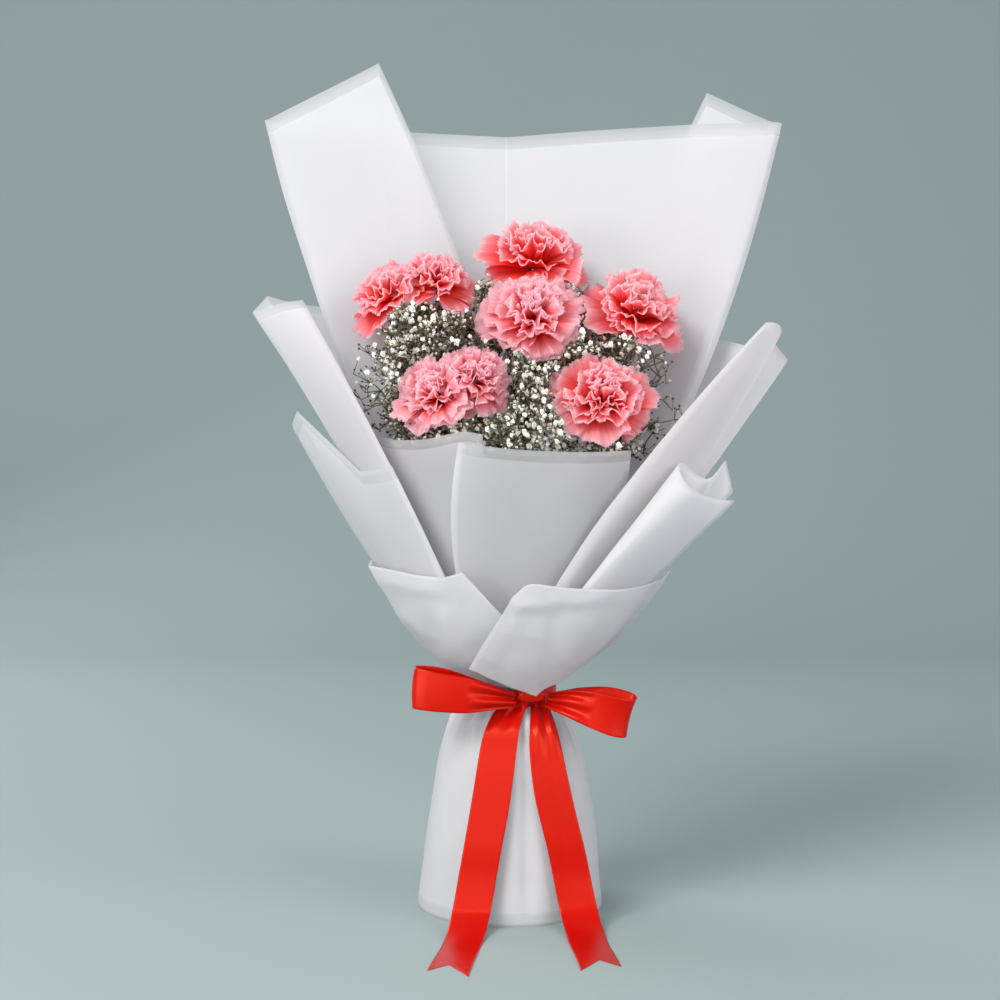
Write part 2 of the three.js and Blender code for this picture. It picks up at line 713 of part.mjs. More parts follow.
function leafSolid(base, outward, length) {
  const rows = [];
  const side = vec(-outward.y, outward.x, 0).normalize();
  for (let j = 0; j <= 4; j += 1) {
    const s = j / 4;
    const half = 2.6 * Math.sin(Math.PI * (0.16 + 0.78 * s)) + 0.3;
    const spine = base.clone().addScaledVector(outward, length * s * 0.42);
    spine.z += length * (s - 0.36 * s * s);
    rows.push([-1, 0, 1].map((u) => spine.clone().addScaledVector(side, u * half)
      .addScaledVector(outward, Math.abs(u) * 0.5)));
  }
  return solidFrom(thinSolid(rows, PETAL));
}

const heads = BLOOMS.map((bloom) => {
  const face = vec(...bloom.face).normalize();
  return { ...bloom, face, base: vec(...bloom.centre).addScaledVector(face, -DOME) };
});

for (const head of heads) {
  const { face, base } = head;
  addPiece(`bloom_${head.name}`, placed(geometryFrom(bloomSolid(head)), base, face), PINK);
  const neck = base.clone().addScaledVector(face, -CALYX_LENGTH);
  const below = base.clone().addScaledVector(face, -CALYX_LENGTH - 16).add(vec(0, 0, -8));
  const ending = [below.clone().lerp(neck, 0.35), neck.clone().addScaledVector(face, 3)];
  head.route = threadStem(below, STEM_RADIUS, [STEM_WAIST, 8, 10.9], 1, ending);
}

for (const head of heads) {
  const cup = new THREE.CylinderGeometry(CALYX_RADIUS, 3.6, CALYX_LENGTH, 8, 1);
  cup.rotateX(Math.PI / 2);
  cup.translate(0, 0, BLOOM_FLOOR - GAP - CALYX_LENGTH / 2);
  const outward = vec(head.route[4].x, head.route[4].y, 0).normalize();
  const parts = [
    solidFrom(placed(cup, head.base, head.face)),
    solidFrom(tube(head.route, STEM_RADIUS, 6, 11)),
    leafSolid(head.route[4], outward, 40),
  ];
  addPiece(`stem_${head.name}`, geometryFrom(fuse(parts).intersect(aboveGround())), GREEN);
}

// ---------------------------------------------------------------- gypsophila

// Sprays of fine twigs. Each has a stem through the binding, a fork, and hubs from which the
// floret stalks radiate into the gaps between the blooms. Knuckles are swollen places of the
// stem, given by height and radius, with which it leans on its neighbours.
const SPRAYS = [
  { name: 'left', knuckles: [[2.5, 2.3]], hubs: [[-80, -24, 344], [-76, -6, 368], [-88, -4, 352]] },
  { name: 'centre', knuckles: [[149, 2.2], [69.5, 2.2]],
    hubs: [[6, -62, 350], [22, -64, 332], [-8, -66, 332]] },
  { name: 'upper_left', hubs: [[-32, -12, 396], [-24, -6, 420], [-30, -28, 384]] },
  { name: 'right', hubs: [[100, -30, 360], [104, -14, 372], [92, -52, 330]] },
  { name: 'upper_right', hubs: [[46, -22, 384], [50, 6, 420], [36, -36, 372]] },
  { name: 'lower_left', hubs: [[-66, -50, 330], [-24, -66, 326], [-80, -34, 334]] },
];

// The oval that the florets fill, in plan, and the height they start at.
const SPREAD = { x: 104, y: 60, middle: [3, -16], floor: 324 };

// Room inside the wrap above the pocket's edge.
function insideWrap(p) {
  const dx = (p.x - SPREAD.middle[0]) / SPREAD.x;
  const dy = (p.y - SPREAD.middle[1]) / SPREAD.y;
  return dx * dx + dy * dy < 1 && p.z > SPREAD.floor;
}

function isClear(point, margin) {
  for (const { base, face, lobes } of heads) {
    const local = point.clone().sub(base);
    const height = local.dot(face);
    const reach = BLOOM_REACH + (lobes - 1) * LOBE_SHIFT + margin;
    const domed = height > -6 - margin && local.addScaledVector(face, -8).length() < reach;
    const along = THREE.MathUtils.clamp(-height, 0, CALYX_LENGTH);
    const calyx = point.distanceTo(base.clone().addScaledVector(face, -along)) < CALYX_RADIUS + 1 + margin;
    if (domed || calyx) {
      return false;
    }
  }
  return true;
}

const nearest = (twig, p) => new THREE.Line3(twig.start, twig.end).closestPointToPoint(p, true, vec(0, 0, 0));

// Whether points along one twig keep this distance from another twig.
function apart(a, b, needed) {
  for (let i = 0; i <= 8; i += 1) {
    const p = a.start.clone().lerp(a.end, i / 8);
    if (nearest(b, p).distanceTo(p) < needed) {
      return false;
    }
  }
  return true;
}

const twigs = [];

function twigFits(start, end, radius, owner) {
  const twig = { start, end, radius, owner };
  for (let i = 1; i <= 8; i += 1) {
    const p = start.clone().lerp(end, i / 8);
    const stemsClear = threaded.every((other) => other.owner === owner || other.points.every((q) => (
      p.distanceTo(q) > radius + other.radius + 1.2)));
    if (!isClear(p, radius + 0.6) || !stemsClear) {
      return false;
    }
  }
  return twigs.every((other) => other.owner === owner
    || (apart(twig, other, radius + other.radius + 0.7) && apart(other, twig, radius + other.radius + 0.7)));
}

// A four-sided twig from one point to another; with a head it swells to a small pointed ball.
function stick(start, end, radius, head = 0) {
  const length = start.distanceTo(end);
  const profile = head
    ? [[0, 0], [radius, 0], [radius, length - head], [head, length], [0, length + head]]
    : [[0, 0], [radius, 0], [radius, length], [0, length]];
  const geometry = new THREE.LatheGeometry(profile.map(([r, z]) => new THREE.Vector2(r, z)), 4);
  geometry.rotateX(Math.PI / 2);
  return solidFrom(placed(geometry, start, end.clone().sub(start).normalize()));
}

const tips = [];

for (const [index, spray] of SPRAYS.entries()) {
  const random = seeded(101 + index);
  const hubs = spray.hubs.map((hub) => vec(...hub));
  const middle = hubs.reduce((sum, hub) => sum.add(hub), vec(0, 0, 0)).multiplyScalar(1 / hubs.length);
  const fork = vec(middle.x * 0.66, middle.y * 0.66, Math.min(middle.z - 52, 300));
  const ending = [fork.clone().add(vec(0, 0, 1))];
  const route = threadStem(fork, SPRAY_RADIUS, [SPRAY_WAIST, 2, 6.2, 8, 12], 12, ending);
  threaded[threaded.length - 1].owner = spray.name;
  const parts = [solidFrom(tube(route, SPRAY_RADIUS, 5, 8))];
  for (const [height, radius] of spray.knuckles ?? []) {
    const off = (p) => Math.abs(p.z - height);
    const at = sampled(route, 400).reduce((best, p) => (off(p) < off(best) ? p : best));
    parts.push(solidFrom(new THREE.IcosahedronGeometry(radius).translate(at.x, at.y, at.z)));
  }
  for (const hub of hubs) {
    let reached = null;
    for (let attempt = 0; attempt < 60 && !reached; attempt += 1) {
      const jitter = vec(random() - 0.5, random() - 0.5, random() - 0.7).multiplyScalar(attempt * 0.6);
      const end = hub.clone().add(jitter);
      const sway = vec(random() - 0.5, random() - 0.5, 0).multiplyScalar(attempt);
      const bend = fork.clone().lerp(end, 0.5).add(sway);
      if (twigFits(fork, bend, BRANCH, spray.name) && twigFits(bend, end, BRANCH, spray.name)) {
        reached = { end, bend };
      }
    }
    if (!reached) {
      continue;
    }
    for (const [start, end] of [[fork, reached.bend], [reached.bend, reached.end]]) {
      twigs.push({ start, end, radius: BRANCH, owner: spray.name });
      parts.push(stick(start, end, BRANCH));
    }
    const joint = new THREE.OctahedronGeometry(JOINT);
    parts.push(solidFrom(joint.clone().translate(reached.bend.x, reached.bend.y, reached.bend.z)));
    parts.push(solidFrom(joint.translate(reached.end.x, reached.end.y, reached.end.z)));
    let stalks = 0;
    for (let attempt = 0; attempt < 220 && stalks < STALKS; attempt += 1) {
      const size = stalks % 4 === 3 ? BUD_RADIUS : FLORET_RADIUS;
      const away = vec(random() - 0.5, random() - 0.62, random() - 0.25).normalize();
      const tip = reached.end.clone().addScaledVector(away, lerp(9, 24, random()));
      const free = tips.every((t) => t.distanceTo(tip) > 2 * FLORET_RADIUS + 1);
      const offTwigs = twigs.every((t) => t.owner === spray.name
        || nearest(t, tip).distanceTo(tip) > size + 1.4);
      const offStems = threaded.every((t) => t.points.every((q) => q.distanceTo(tip) > size + t.radius + 1));
      if (free && offTwigs && offStems && insideWrap(tip) && isClear(tip, size + 0.5)
        && twigFits(reached.end, tip, TWIG, spray.name)) {
        tips.push(tip);
        twigs.push({ start: reached.end, end: tip, radius: TWIG, owner: spray.name });
        parts.push(stick(reached.end, tip, TWIG, size));
        stalks += 1;
      }
    }
  }
  addPiece(`gypsophila_${spray.name}`, geometryFrom(fuse(parts).intersect(aboveGround())), FLORET);
}

// The origin is under the middle of the whole bunch, on the surface it stands on.
const whole = new THREE.Box3().setFromObject(bunch);
const centre = whole.getCenter(vec(0, 0, 0));
for (const piece of bunch.children) {
  piece.geometry.translate(-centre.x, -centre.y, -whole.min.z);
}

export default bunch;
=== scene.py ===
# %% [markdown]
# # A wrapped bunch of carnations
# Six pink carnations stand in a cloud of gypsophila, inside nine frosted sheets that a red satin
# ribbon holds at the waist. Below the ribbon a skirt of the same sheet flares to the table.
# The solids of the bunch are already fixed. This lesson dresses each of them: sheets as thin
# bent grids, petals as ruffled fans, florets as small rosettes, and the ribbon as woven strips.
# First come the frame and the bunch's own axis, which all places are measured from.

import math
import random

import bpy
from mathutils import Matrix, Vector, noise
from mathutils.bvhtree import BVHTree


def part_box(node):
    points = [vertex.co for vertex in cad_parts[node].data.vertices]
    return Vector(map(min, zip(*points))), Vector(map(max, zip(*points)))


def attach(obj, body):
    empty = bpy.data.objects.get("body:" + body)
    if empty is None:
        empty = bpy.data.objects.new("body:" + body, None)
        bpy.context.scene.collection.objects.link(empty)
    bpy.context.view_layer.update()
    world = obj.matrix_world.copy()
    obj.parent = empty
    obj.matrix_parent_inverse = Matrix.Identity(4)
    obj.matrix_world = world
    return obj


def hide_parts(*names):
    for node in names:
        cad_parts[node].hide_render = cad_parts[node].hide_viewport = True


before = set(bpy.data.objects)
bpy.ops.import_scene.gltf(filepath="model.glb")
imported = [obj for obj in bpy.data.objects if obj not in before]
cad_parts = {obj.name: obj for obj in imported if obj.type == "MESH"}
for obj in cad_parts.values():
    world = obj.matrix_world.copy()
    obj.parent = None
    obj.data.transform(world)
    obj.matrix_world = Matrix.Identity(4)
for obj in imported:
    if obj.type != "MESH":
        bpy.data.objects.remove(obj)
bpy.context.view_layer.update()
binding_low, binding_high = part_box("stem_binding")
AXIS = Vector(((binding_low[0] + binding_high[0]) / 2, (binding_low[1] + binding_high[1]) / 2, 0))


def mm(x, y, z):
    """A point given in millimetres from the bunch's axis, in the frame's metres."""
    return AXIS + Vector((x, y, z)) / 1000


def polar(radius, degrees, z):
    """A point at a radius and an azimuth round the bunch's axis."""
    turn = math.radians(degrees)
    return mm(radius * math.cos(turn), radius * math.sin(turn), z)


def lerp(a, b, t):
    return a + (b - a) * t


# %% [markdown]
# ## Camera
# The picture was taken from just over a metre away, at the height of the pocket's edge, looking
# a little down. A camera needs a place, a turn and a lens. A 64 mm lens on a 36 mm sensor gives
# the narrow view that keeps the bunch's proportions as the eye sees them.

# %% Camera
CAMERA_PLACE = (-6.8, -1215, 322)
CAMERA_TILT = 87.9  # degrees, 90 would look level
LENS, SENSOR = 64, 36

bpy.ops.object.camera_add(location=mm(*CAMERA_PLACE), rotation=(math.radians(CAMERA_TILT), 0, 0))
camera = bpy.context.object
camera.name = "camera"
camera.data.lens = LENS
camera.data.sensor_width = SENSOR
bpy.context.scene.camera = camera
print("camera at", camera.location[:])

# %% [markdown]
# ## Floor and light
# White sheets need a floor that is pale but darker than they are, or their edges are lost. The
# floor is one plane whose back edge is extruded up and bevelled, as a paper roll in a studio.
# One large soft light stands at the front left. Weaker ones fill the right side, the low parts
# and the gaps seen from the front, and one behind the bunch lets the thin sheets glow.

# %% A helper for finishes
def new_material(name):
    """An empty material, and a function that adds a node to it and gives back one of its outputs.

    An input that is another node's output is linked. Any other input is set as a value.
    """
    finish = bpy.data.materials.new(name)
    finish.use_nodes = True
    tree = finish.node_tree
    tree.nodes.clear()

    def add(kind, inputs, output=0, **settings):
        node = tree.nodes.new("ShaderNode" + kind)
        for setting, value in settings.items():
            setattr(node, setting, value)
        for key, value in inputs.items():
            if isinstance(value, bpy.types.NodeSocket):
                tree.links.new(value, node.inputs[key])
            else:
                node.inputs[key].default_value = value
        return node.outputs[output] if node.outputs else None

    return finish, add


floor_finish, add = new_material("pale_floor")
paper = add("BsdfPrincipled", {"Base Color": (0.27, 0.335, 0.335, 1), "Roughness": 0.75})
add("OutputMaterial", {"Surface": paper})
print("finish", floor_finish.name)


# %% Floor
FLOOR_SIZE, FLOOR_SHIFT = 7, -0.9
WALL_RISE, CURVE = (0, 0.6, 4), 1.2


def deselect():
    if bpy.context.object and bpy.context.object.mode != "OBJECT":
        bpy.ops.object.mode_set(mode="OBJECT")
    bpy.ops.object.select_all(action="DESELECT")


def select_back_edge(piece):
    """Selects the edge at the back of the floor's square and leaves the piece in edit mode."""
    bpy.ops.object.mode_set(mode="OBJECT")
    for edge in piece.data.edges:
        ends = [piece.data.vertices[i].co.y for i in edge.vertices]
        edge.select = all(abs(y - FLOOR_SIZE / 2) < 0.01 for y in ends)
    bpy.ops.object.mode_set(mode="EDIT")


deselect()
bpy.ops.mesh.primitive_plane_add(size=FLOOR_SIZE, location=(0, FLOOR_SHIFT, 0))
floor = bpy.context.object
floor.name = "floor"
bpy.ops.object.mode_set(mode="EDIT")
bpy.ops.mesh.select_all(action="DESELECT")
select_back_edge(floor)
bpy.ops.mesh.select_mode(type="EDGE")
bpy.ops.mesh.extrude_region_move(TRANSFORM_OT_translate={"value": WALL_RISE})
select_back_edge(floor)
bpy.ops.mesh.bevel(offset=CURVE, segments=14)
bpy.ops.object.mode_set(mode="OBJECT")
bpy.ops.object.transform_apply(location=True, rotation=True, scale=True)
bpy.ops.object.shade_smooth()
floor.data.materials.append(floor_finish)
print("floor", len(floor.data.polygons), "faces")


# %% Lights
def soft_light(name, place, aim, size, watts, tint):
    bpy.ops.object.light_add(type="AREA", location=place)
    lamp = bpy.context.object
    lamp.name = name
    lamp.rotation_euler = (Vector(aim) - Vector(place)).to_track_quat("-Z", "Y").to_euler()
    lamp.data.size = size
    lamp.data.energy = watts
    lamp.data.color = tint


# name, place and aim in metres, size, watts, tint
soft_light("key_light", (-1.9, -2.35, 2.7), (0, 0, 0.25), 1.7, 134, (1.0, 0.98, 0.955))
soft_light("fill_light", (1.6, -1.2, 0.9), (0, 0, 0.3), 1.5, 27, (1.0, 0.98, 0.99))
soft_light("low_light", (-1.4, -1.4, 0.3), (0, 0, 0.2), 0.9, 15, (1.0, 0.98, 0.96))
soft_light("front_light", (-0.2, -2.3, 0.75), (0, 0, 0.35), 1.2, 9, (1.0, 0.98, 0.97))
soft_light("back_light", (-1.3, 1.1, 1.1), (0, 0, 0.35), 1.3, 15, (1.0, 1.0, 1.0))

world = bpy.data.worlds.new("soft_room")
bpy.context.scene.world = world
world.use_nodes = True
room = world.node_tree.nodes["Background"].inputs
room["Color"].default_value = (0.86, 0.88, 0.91, 1)
room["Strength"].default_value = 0.53
bpy.context.scene.view_settings.view_transform = "Standard"

# %% [markdown]
# ## Small helpers
# Many pieces start the same way: a flat grid primitive whose points are then moved to where a
# formula says. The grid keeps its UV map, in which u runs across the piece and v along it, so a
# finish can follow the surface afterwards. Other helpers give a piece its thickness, close its
# seams, join parts into one piece and hide the solid that it dresses.

# %% Grids, thickness and finishing
def bent_grid(name, across, along, place):
    """A grid of across × along faces, each point moved to place(u, v) with u, v from 0 to 1."""
    deselect()
    bpy.ops.mesh.primitive_grid_add(x_subdivisions=across, y_subdivisions=along, size=2)
    piece = bpy.context.object
    piece.name = name
    piece.data.name = name
    for vertex in piece.data.vertices:
        vertex.co = place((vertex.co.x + 1) / 2, (vertex.co.y + 1) / 2)
    return piece


def only(piece):
    deselect()
    piece.select_set(True)
    bpy.context.view_layer.objects.active = piece


def apply_modifiers(piece):
    only(piece)
    for modifier in list(piece.modifiers):
        bpy.ops.object.modifier_apply(modifier=modifier.name)


def close_seams(piece, distance=1e-5):
    only(piece)
    bpy.ops.object.mode_set(mode="EDIT")
    bpy.ops.mesh.select_all(action="SELECT")
    bpy.ops.mesh.remove_doubles(threshold=distance)
    bpy.ops.mesh.normals_make_consistent(inside=False)
    bpy.ops.object.mode_set(mode="OBJECT")


def thicken(piece, thickness):
    solid = piece.modifiers.new("thickness", "SOLIDIFY")
    solid.thickness = thickness
    solid.offset = 0
    solid.use_even_offset = False
    apply_modifiers(piece)
    bpy.ops.object.shade_smooth()


def join(pieces, name):
    deselect()
    for piece in pieces:
        piece.select_set(True)
    bpy.context.view_layer.objects.active = pieces[0]
    bpy.ops.object.join()
    whole = bpy.context.object
    whole.name = name
    whole.data.name = name
    return whole


def dress(piece, finish, slot, *nodes):
    """Gives a finished piece its material and its body, and hides the solids that it stands for."""
    piece.data.materials.clear()
    piece.data.materials.append(finish)
    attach(piece, "root")
    if nodes:
        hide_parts(*nodes)


print("helpers ready")

# %% [markdown]
# ## Frosted sheet
# The wrap is a matte plastic film: white, slightly see-through, with a clearer band about a
# centimetre wide along its cut edges. A mask made of each point's distance from the edge
# switches between the two. A second mask paints a highlight onto the folds, and a painted glow
# onto the sheets, strongest where the film lies double, for the light that passes through them.
# Light passes into thin film, so part of the shader is translucent.

# %% Frosted finish
def frosted_finish():
    finish, add = new_material("frosted_film")
    place = add("TexCoord", {}, "Object")
    edge = add("Attribute", {}, "Fac", attribute_name="edge")
    crease = add("Attribute", {}, "Fac", attribute_name="crease")
    band = add("MapRange", {"Value": edge, "From Min": 0.0088, "From Max": 0.0100,
                            "To Min": 1.0, "To Max": 0.0})
    cloud = add("TexNoise", {"Vector": place, "Scale": 9, "Detail": 3}, "Fac")
    body = add("MixRGB", {0: cloud, 1: (0.685, 0.685, 0.71, 1), 2: (0.765, 0.763, 0.787, 1)})
    tone = add("MixRGB", {0: band, 1: body, 2: (0.69, 0.70, 0.715, 1)})
    # painted highlight along the folds and painted glow on whole sheets: the crease mask lifts the tone
    # towards white
    painted_light_tone = add("MixRGB", {0: crease, 1: tone, 2: (0.95, 0.94, 0.95, 1)})
    grain = add("TexNoise", {"Vector": place, "Scale": 46, "Detail": 5}, "Fac")
    relief = add("Bump", {"Height": grain, "Strength": 0.10, "Distance": 0.002})
    film = add("BsdfPrincipled", {"Base Color": painted_light_tone, "Normal": relief,
                                  "Roughness": 0.46, "Specular IOR Level": 0.35})
    glow = add("BsdfTranslucent", {"Color": painted_light_tone})
    clear = add("BsdfTransparent", {})
    lit = add("MixShader", {0: 0.58, 1: film, 2: glow})
    thin = add("MapRange", {"Value": band, "To Min": 0.18, "To Max": 0.46})
    see = add("MixShader", {0: thin, 1: lit, 2: clear})
    add("OutputMaterial", {"Surface": see})
    return finish


frosted = frosted_finish()
print("finish", frosted.name)

# %% [markdown]
# ## Wrapping sheets
# Every sheet rises out of the tied waist and opens like a fan. It could be draped by a cloth
# simulation, but folded film keeps straight, stiff lines, so it is drawn with rails instead.
# A rail starts at the waist, passes a middle point and ends on the sheet's upper edge. The
# sheet is the smooth surface through its rails, and a rail marked sharp is a crease.

# %% Rails of the sheets
FOOT_Z, NECK_Z = 139, 152
FIRST_LAYER, LAYER_STEP = 19.0, 1.3

# rails of each sheet: azimuth at the waist, layer, middle point, top point, crease or corner
SHEETS = {
    "sheet_back": [
        (-258, 0, (-12, 40, 262), (2, 46, 372)), (-226, 0, (-34, 35, 294), (-34, 46, 446)),
        (-210, 0, (-56, 30, 336), (-68, 43, 530)), (-200, 0, (-70, 27, 354), (-92, 45, 583), "corner"),
        (-184, 0, (-103, 19, 344), (-168, 41, 544)),
        (-188, 0.5, (-107, 22, 344), (-173, 45, 543), "crease"),
        (-184, 1, (-103, 26, 344), (-168, 51, 543)), (-222, 1, (-56, 52, 342), (-86, 76, 541)),
        (-271, 1, (-2, 68, 342), (-2, 98, 540), "crease"), (-318, 1, (62, 56, 342), (100, 78, 544)),
        (-356, 1, (122, 25, 344), (187, 46, 542)),
        (-352, 1.5, (127, 29, 344), (192, 51, 542), "crease"),
        (-356, 2, (121, 34, 344), (185, 59, 545)), (-342, 2, (104, 52, 350), (143, 84, 570), "corner"),
        (-322, 2, (74, 64, 320), (106, 88, 492))],
    "sheet_left_outer": [
        (-118, 3, (-62, -59, 270), (-140, -12, 413)), (-140, 3, (-80, -42, 276), (-155, -8, 411)),
        (-162, 3, (-94, -18, 278), (-176, 2, 405), "corner"),
        (-170, 3, (-96, -6, 280), (-167, 12, 417), "corner"),
        (-182, 3, (-92, 12, 284), (-150, 36, 414)), (-208, 3, (-76, 40, 286), (-122, 60, 412))],
    "sheet_left_flap": [
        (-122, 4, (-39, -57.3, 219), (-77, -58, 302)), (-140, 4, (-52.5, -42.5, 219), (-88, -46.5, 299)),
        (-156, 4, (-70, -27, 226), (-100, -34.5, 298), "corner"),
        (-172, 4, (-84, -12, 232), (-144, -12, 338), "corner"),
        (-182, 4, (-88, 4, 226), (-148, 4, 326)), (-212, 4, (-72, 42, 226), (-122, 56, 310))],
    "sheet_front_left": [
        (-172, 1, (-62, -4, 232), (-92, -8, 322)), (-146, 1, (-51, -31, 232), (-80, -40, 319)),
        (-124, 1, (-37, -45, 232), (-56, -64, 319)), (-106, 1, (-21, -51, 232), (-30, -75, 324)),
        (-98, 1, (-13, -53, 232), (-18, -79, 322))],
    "sheet_front": [
        (-116, 2, (-36, -55, 234), (-33, -85, 317), "crease"), (-98, 2, (-12, -64, 231), (0, -91, 313)),
        (-64, 2, (34, -64, 232), (46, -90, 311)), (-32, 2, (62, -45, 240), (77, -77, 312))],
    "sheet_right_roll": [
        (-95, 3, (53, -77, 262), (168, -41, 396)), (-62, 3, (84, -61, 262), (176, -33, 396)),
        (-30, 3, (100, -39, 262), (181, -22, 392)), (-20, 3, (102, -28, 260), (178, -14, 383), "corner"),
        (-8, 3, (106, -14, 258), (188, -6, 373), "corner"), (8, 3, (104, 12, 262), (178, 20, 378)),
        (26, 3, (92, 36, 264), (162, 42, 386)), (50, 3, (66, 60, 266), (126, 76, 396))],
    "sheet_lower_right_roll": [
        (-36, 4, (88.5, -41.5, 224), (147, -42.5, 284)),
        (-40, 4, (87, -44, 224), (142, -44, 305), "corner"), (-64, 4, (70, -60, 223), (128, -58, 293)),
        (-90, 4, (50, -70, 223), (113, -65, 303)), (-96, 4.5, (45, -76, 222), (108, -74, 302)),
        (-90, 5, (49, -79, 221), (113, -82, 290)), (-64, 5, (72, -66, 222), (131, -67, 281)),
        (-40, 5, (90, -50, 222), (147, -52, 279))],
    "collar_left": [
        (-224, 6, (-52, 42, 184), (-76, 54, 226)), (-198, 6, (-63, 15, 185), (-94, 23, 235)),
        (-176, 6, (-64.5, -10, 184), (-95, -16, 234), "corner"),
        (-128, 6, (-40, -46.5, 183), (-46, -70, 230)),
        (-112, 6, (-30, -56, 183), (-31, -80, 234), "corner"), (-92, 6, (-9, -56, 177), (-8, -77, 209)),
        (-78, 6, (7, -53, 172), (8, -68, 194))],
}


def layer_radius(layer):
    return FIRST_LAYER + layer * LAYER_STEP


def full_rail(azimuth, layer, mid, top, kind=""):
    low = polar(layer_radius(layer), azimuth, NECK_Z)
    return {"azimuth": azimuth, "layer": layer, "kind": kind,
            "low": low, "mid": mm(*mid), "top": mm(*top)}


print(len(SHEETS) + 1, "sheets")

# %% Curves across and along
def smooth_step(points, sharp, span, t):
    """A smooth curve through the points, straight at its ends and where it is sharp."""
    a, b = points[span], points[span + 1]
    chord = b - a

    def tangent(i):
        if i in (0, len(points) - 1) or sharp[i]:
            return chord
        return (points[i + 1] - points[i - 1]).normalized() * chord.length

    t2, t3 = t * t, t * t * t
    return (a * (2 * t3 - 3 * t2 + 1) + tangent(span) * (t3 - 2 * t2 + t)
            + b * (3 * t2 - 2 * t3) + tangent(span + 1) * (t3 - t2))


def along_rail(low, mid, top, s):
    bend = mid * 2 - low / 2 - top / 2
    return low * (1 - s) ** 2 + bend * (2 * s * (1 - s)) + top * s ** 2


middle_of_rail = along_rail(Vector(), Vector((1, 0, 1)), Vector((0, 0, 2)), 0.5)
print("half way along a bent rail", middle_of_rail[:])

# %% Columns of a sheet
BESIDE = 0.0006


def column_list(rails, pitch):
    """Spans and shares of the columns, a pitch apart, with one on and two close beside each fold."""
    columns = []
    for span in range(len(rails) - 1):
        wide = max(0.004, (rails[span + 1]["top"] - rails[span]["top"]).length)
        count = max(3, round(wide / pitch))
        shares = [k / count for k in range(count)]
        if rails[span]["kind"] and span > 0:
            shares.insert(1, BESIDE / wide)
        if rails[span + 1]["kind"] and span + 2 < len(rails):
            shares.append(1 - BESIDE / wide)
        columns += [(span, share) for share in shares]
    columns.append((len(rails) - 2, 1.0))
    return columns


def fold_line(rails, pitch):
    """For each column 1 on a crease and 0 elsewhere."""
    marks = []
    for span, share in column_list(rails, pitch):
        inner = 0 < span or share > 0
        marks.append(1.0 if share == 0 and inner and rails[span]["kind"] == "crease" else 0.0)
    return marks


pocket = [full_rail(*rail) for rail in SHEETS["sheet_front"]]
print("columns of the pocket", len(column_list(pocket, 0.006)))


# %% Points and edge distances
def sheet_points(rails, pitch, rows, foot=True):
    """Columns of points of a sheet; with a foot they start below the ribbon, round the axis."""
    crease = [rail["kind"] == "crease" for rail in rails]
    corner = [rail["kind"] != "" for rail in rails]
    lists = {key: [rail[key] for rail in rails] for key in ("low", "mid", "top")}
    columns = []
    for span, t in column_list(rails, pitch):
        mid = smooth_step(lists["mid"], crease, span, t)
        top = smooth_step(lists["top"], corner, span, t)
        if foot:
            azimuth = lerp(rails[span]["azimuth"], rails[span + 1]["azimuth"], t)
            radius = layer_radius(lerp(rails[span]["layer"], rails[span + 1]["layer"], t))
            low = polar(radius, azimuth, NECK_Z)
            column = [polar(radius, azimuth, FOOT_Z), polar(radius, azimuth, (FOOT_Z + NECK_Z) / 2)]
        else:
            low = smooth_step(lists["low"], corner, span, t)
            column = []
        column += [along_rail(low, mid, top, (j / rows) ** 1.15) for j in range(rows + 1)]
        columns.append(column)
    return columns


def edge_distance(columns, left_free):
    """Distance of each grid point from the top edge, and from the left side where that is free."""
    high, wide = len(columns[0]), len(columns)
    away = [[0.0] * high for _ in range(wide)]
    for i in range(wide):
        for j in range(high - 2, -1, -1):
            away[i][j] = away[i][j + 1] + (columns[i][j + 1] - columns[i][j]).length
    for j in range(high if left_free else 0):
        run = 0.0
        for i in range(wide):
            run += (columns[i][j] - columns[i - 1][j]).length if i else 0
            away[i][j] = min(away[i][j], run)
    return away


print("rows of the pocket", len(sheet_points(pocket, 0.006, 44)[0]))

# %% [markdown]
# Film that has been folded by hand is never quite smooth. Wide dents come from a soft noise,
# sharp ones from a noise with ridges, and pleats run up from the tie. Only the folds seen on the
# two collars are placed one by one.

# %% Placed folds
# soft folds seen on the collars: both ends as x and z, half width, height
FOLDS = {
    "collar_left": [((-84, 224), (-50, 219), 4, 0.7), ((-88, 214), (-44, 212), 6, -0.8),
                    ((-49, 180), (-51, 214), 7, -1.2), ((-68, 200), (-38, 168), 6, 1.0)],
    "collar_right": [((1, 213), (60, 217), 4.5, 0.8), ((8, 206), (70, 209), 7, -0.8),
                     ((8, 212), (-12, 176), 4.5, 1.0), ((33, 208), (20, 157), 9, -1.8),
                     ((56, 206), (38, 176), 7, 1.1)],
}


def fold_push(name, point):
    """How far the soft folds of a sheet push a point on its front out, in millimetres."""
    local = (point - AXIS) * 1000
    if local.y > 0:
        return 0.0
    push, spot = 0.0, Vector((local.x, local.z))
    for a, b, wide, height in FOLDS.get(name, []):
        start, run = Vector(a), Vector(b) - Vector(a)
        share = min(1, max(0, (spot - start).dot(run) / run.length_squared))
        push += height * math.exp(-((spot - start - run * share).length / wide) ** 2)
    return push


print("placed folds", {name: len(folds) for name, folds in FOLDS.items()})


# %% Dents and creases
def ridge(point, seed):
    """A noise with sharp ridges, as the folds of crushed film have."""
    return 0.5 - abs(noise.noise(point + Vector((seed, 3.1, 0)))) * 2.2


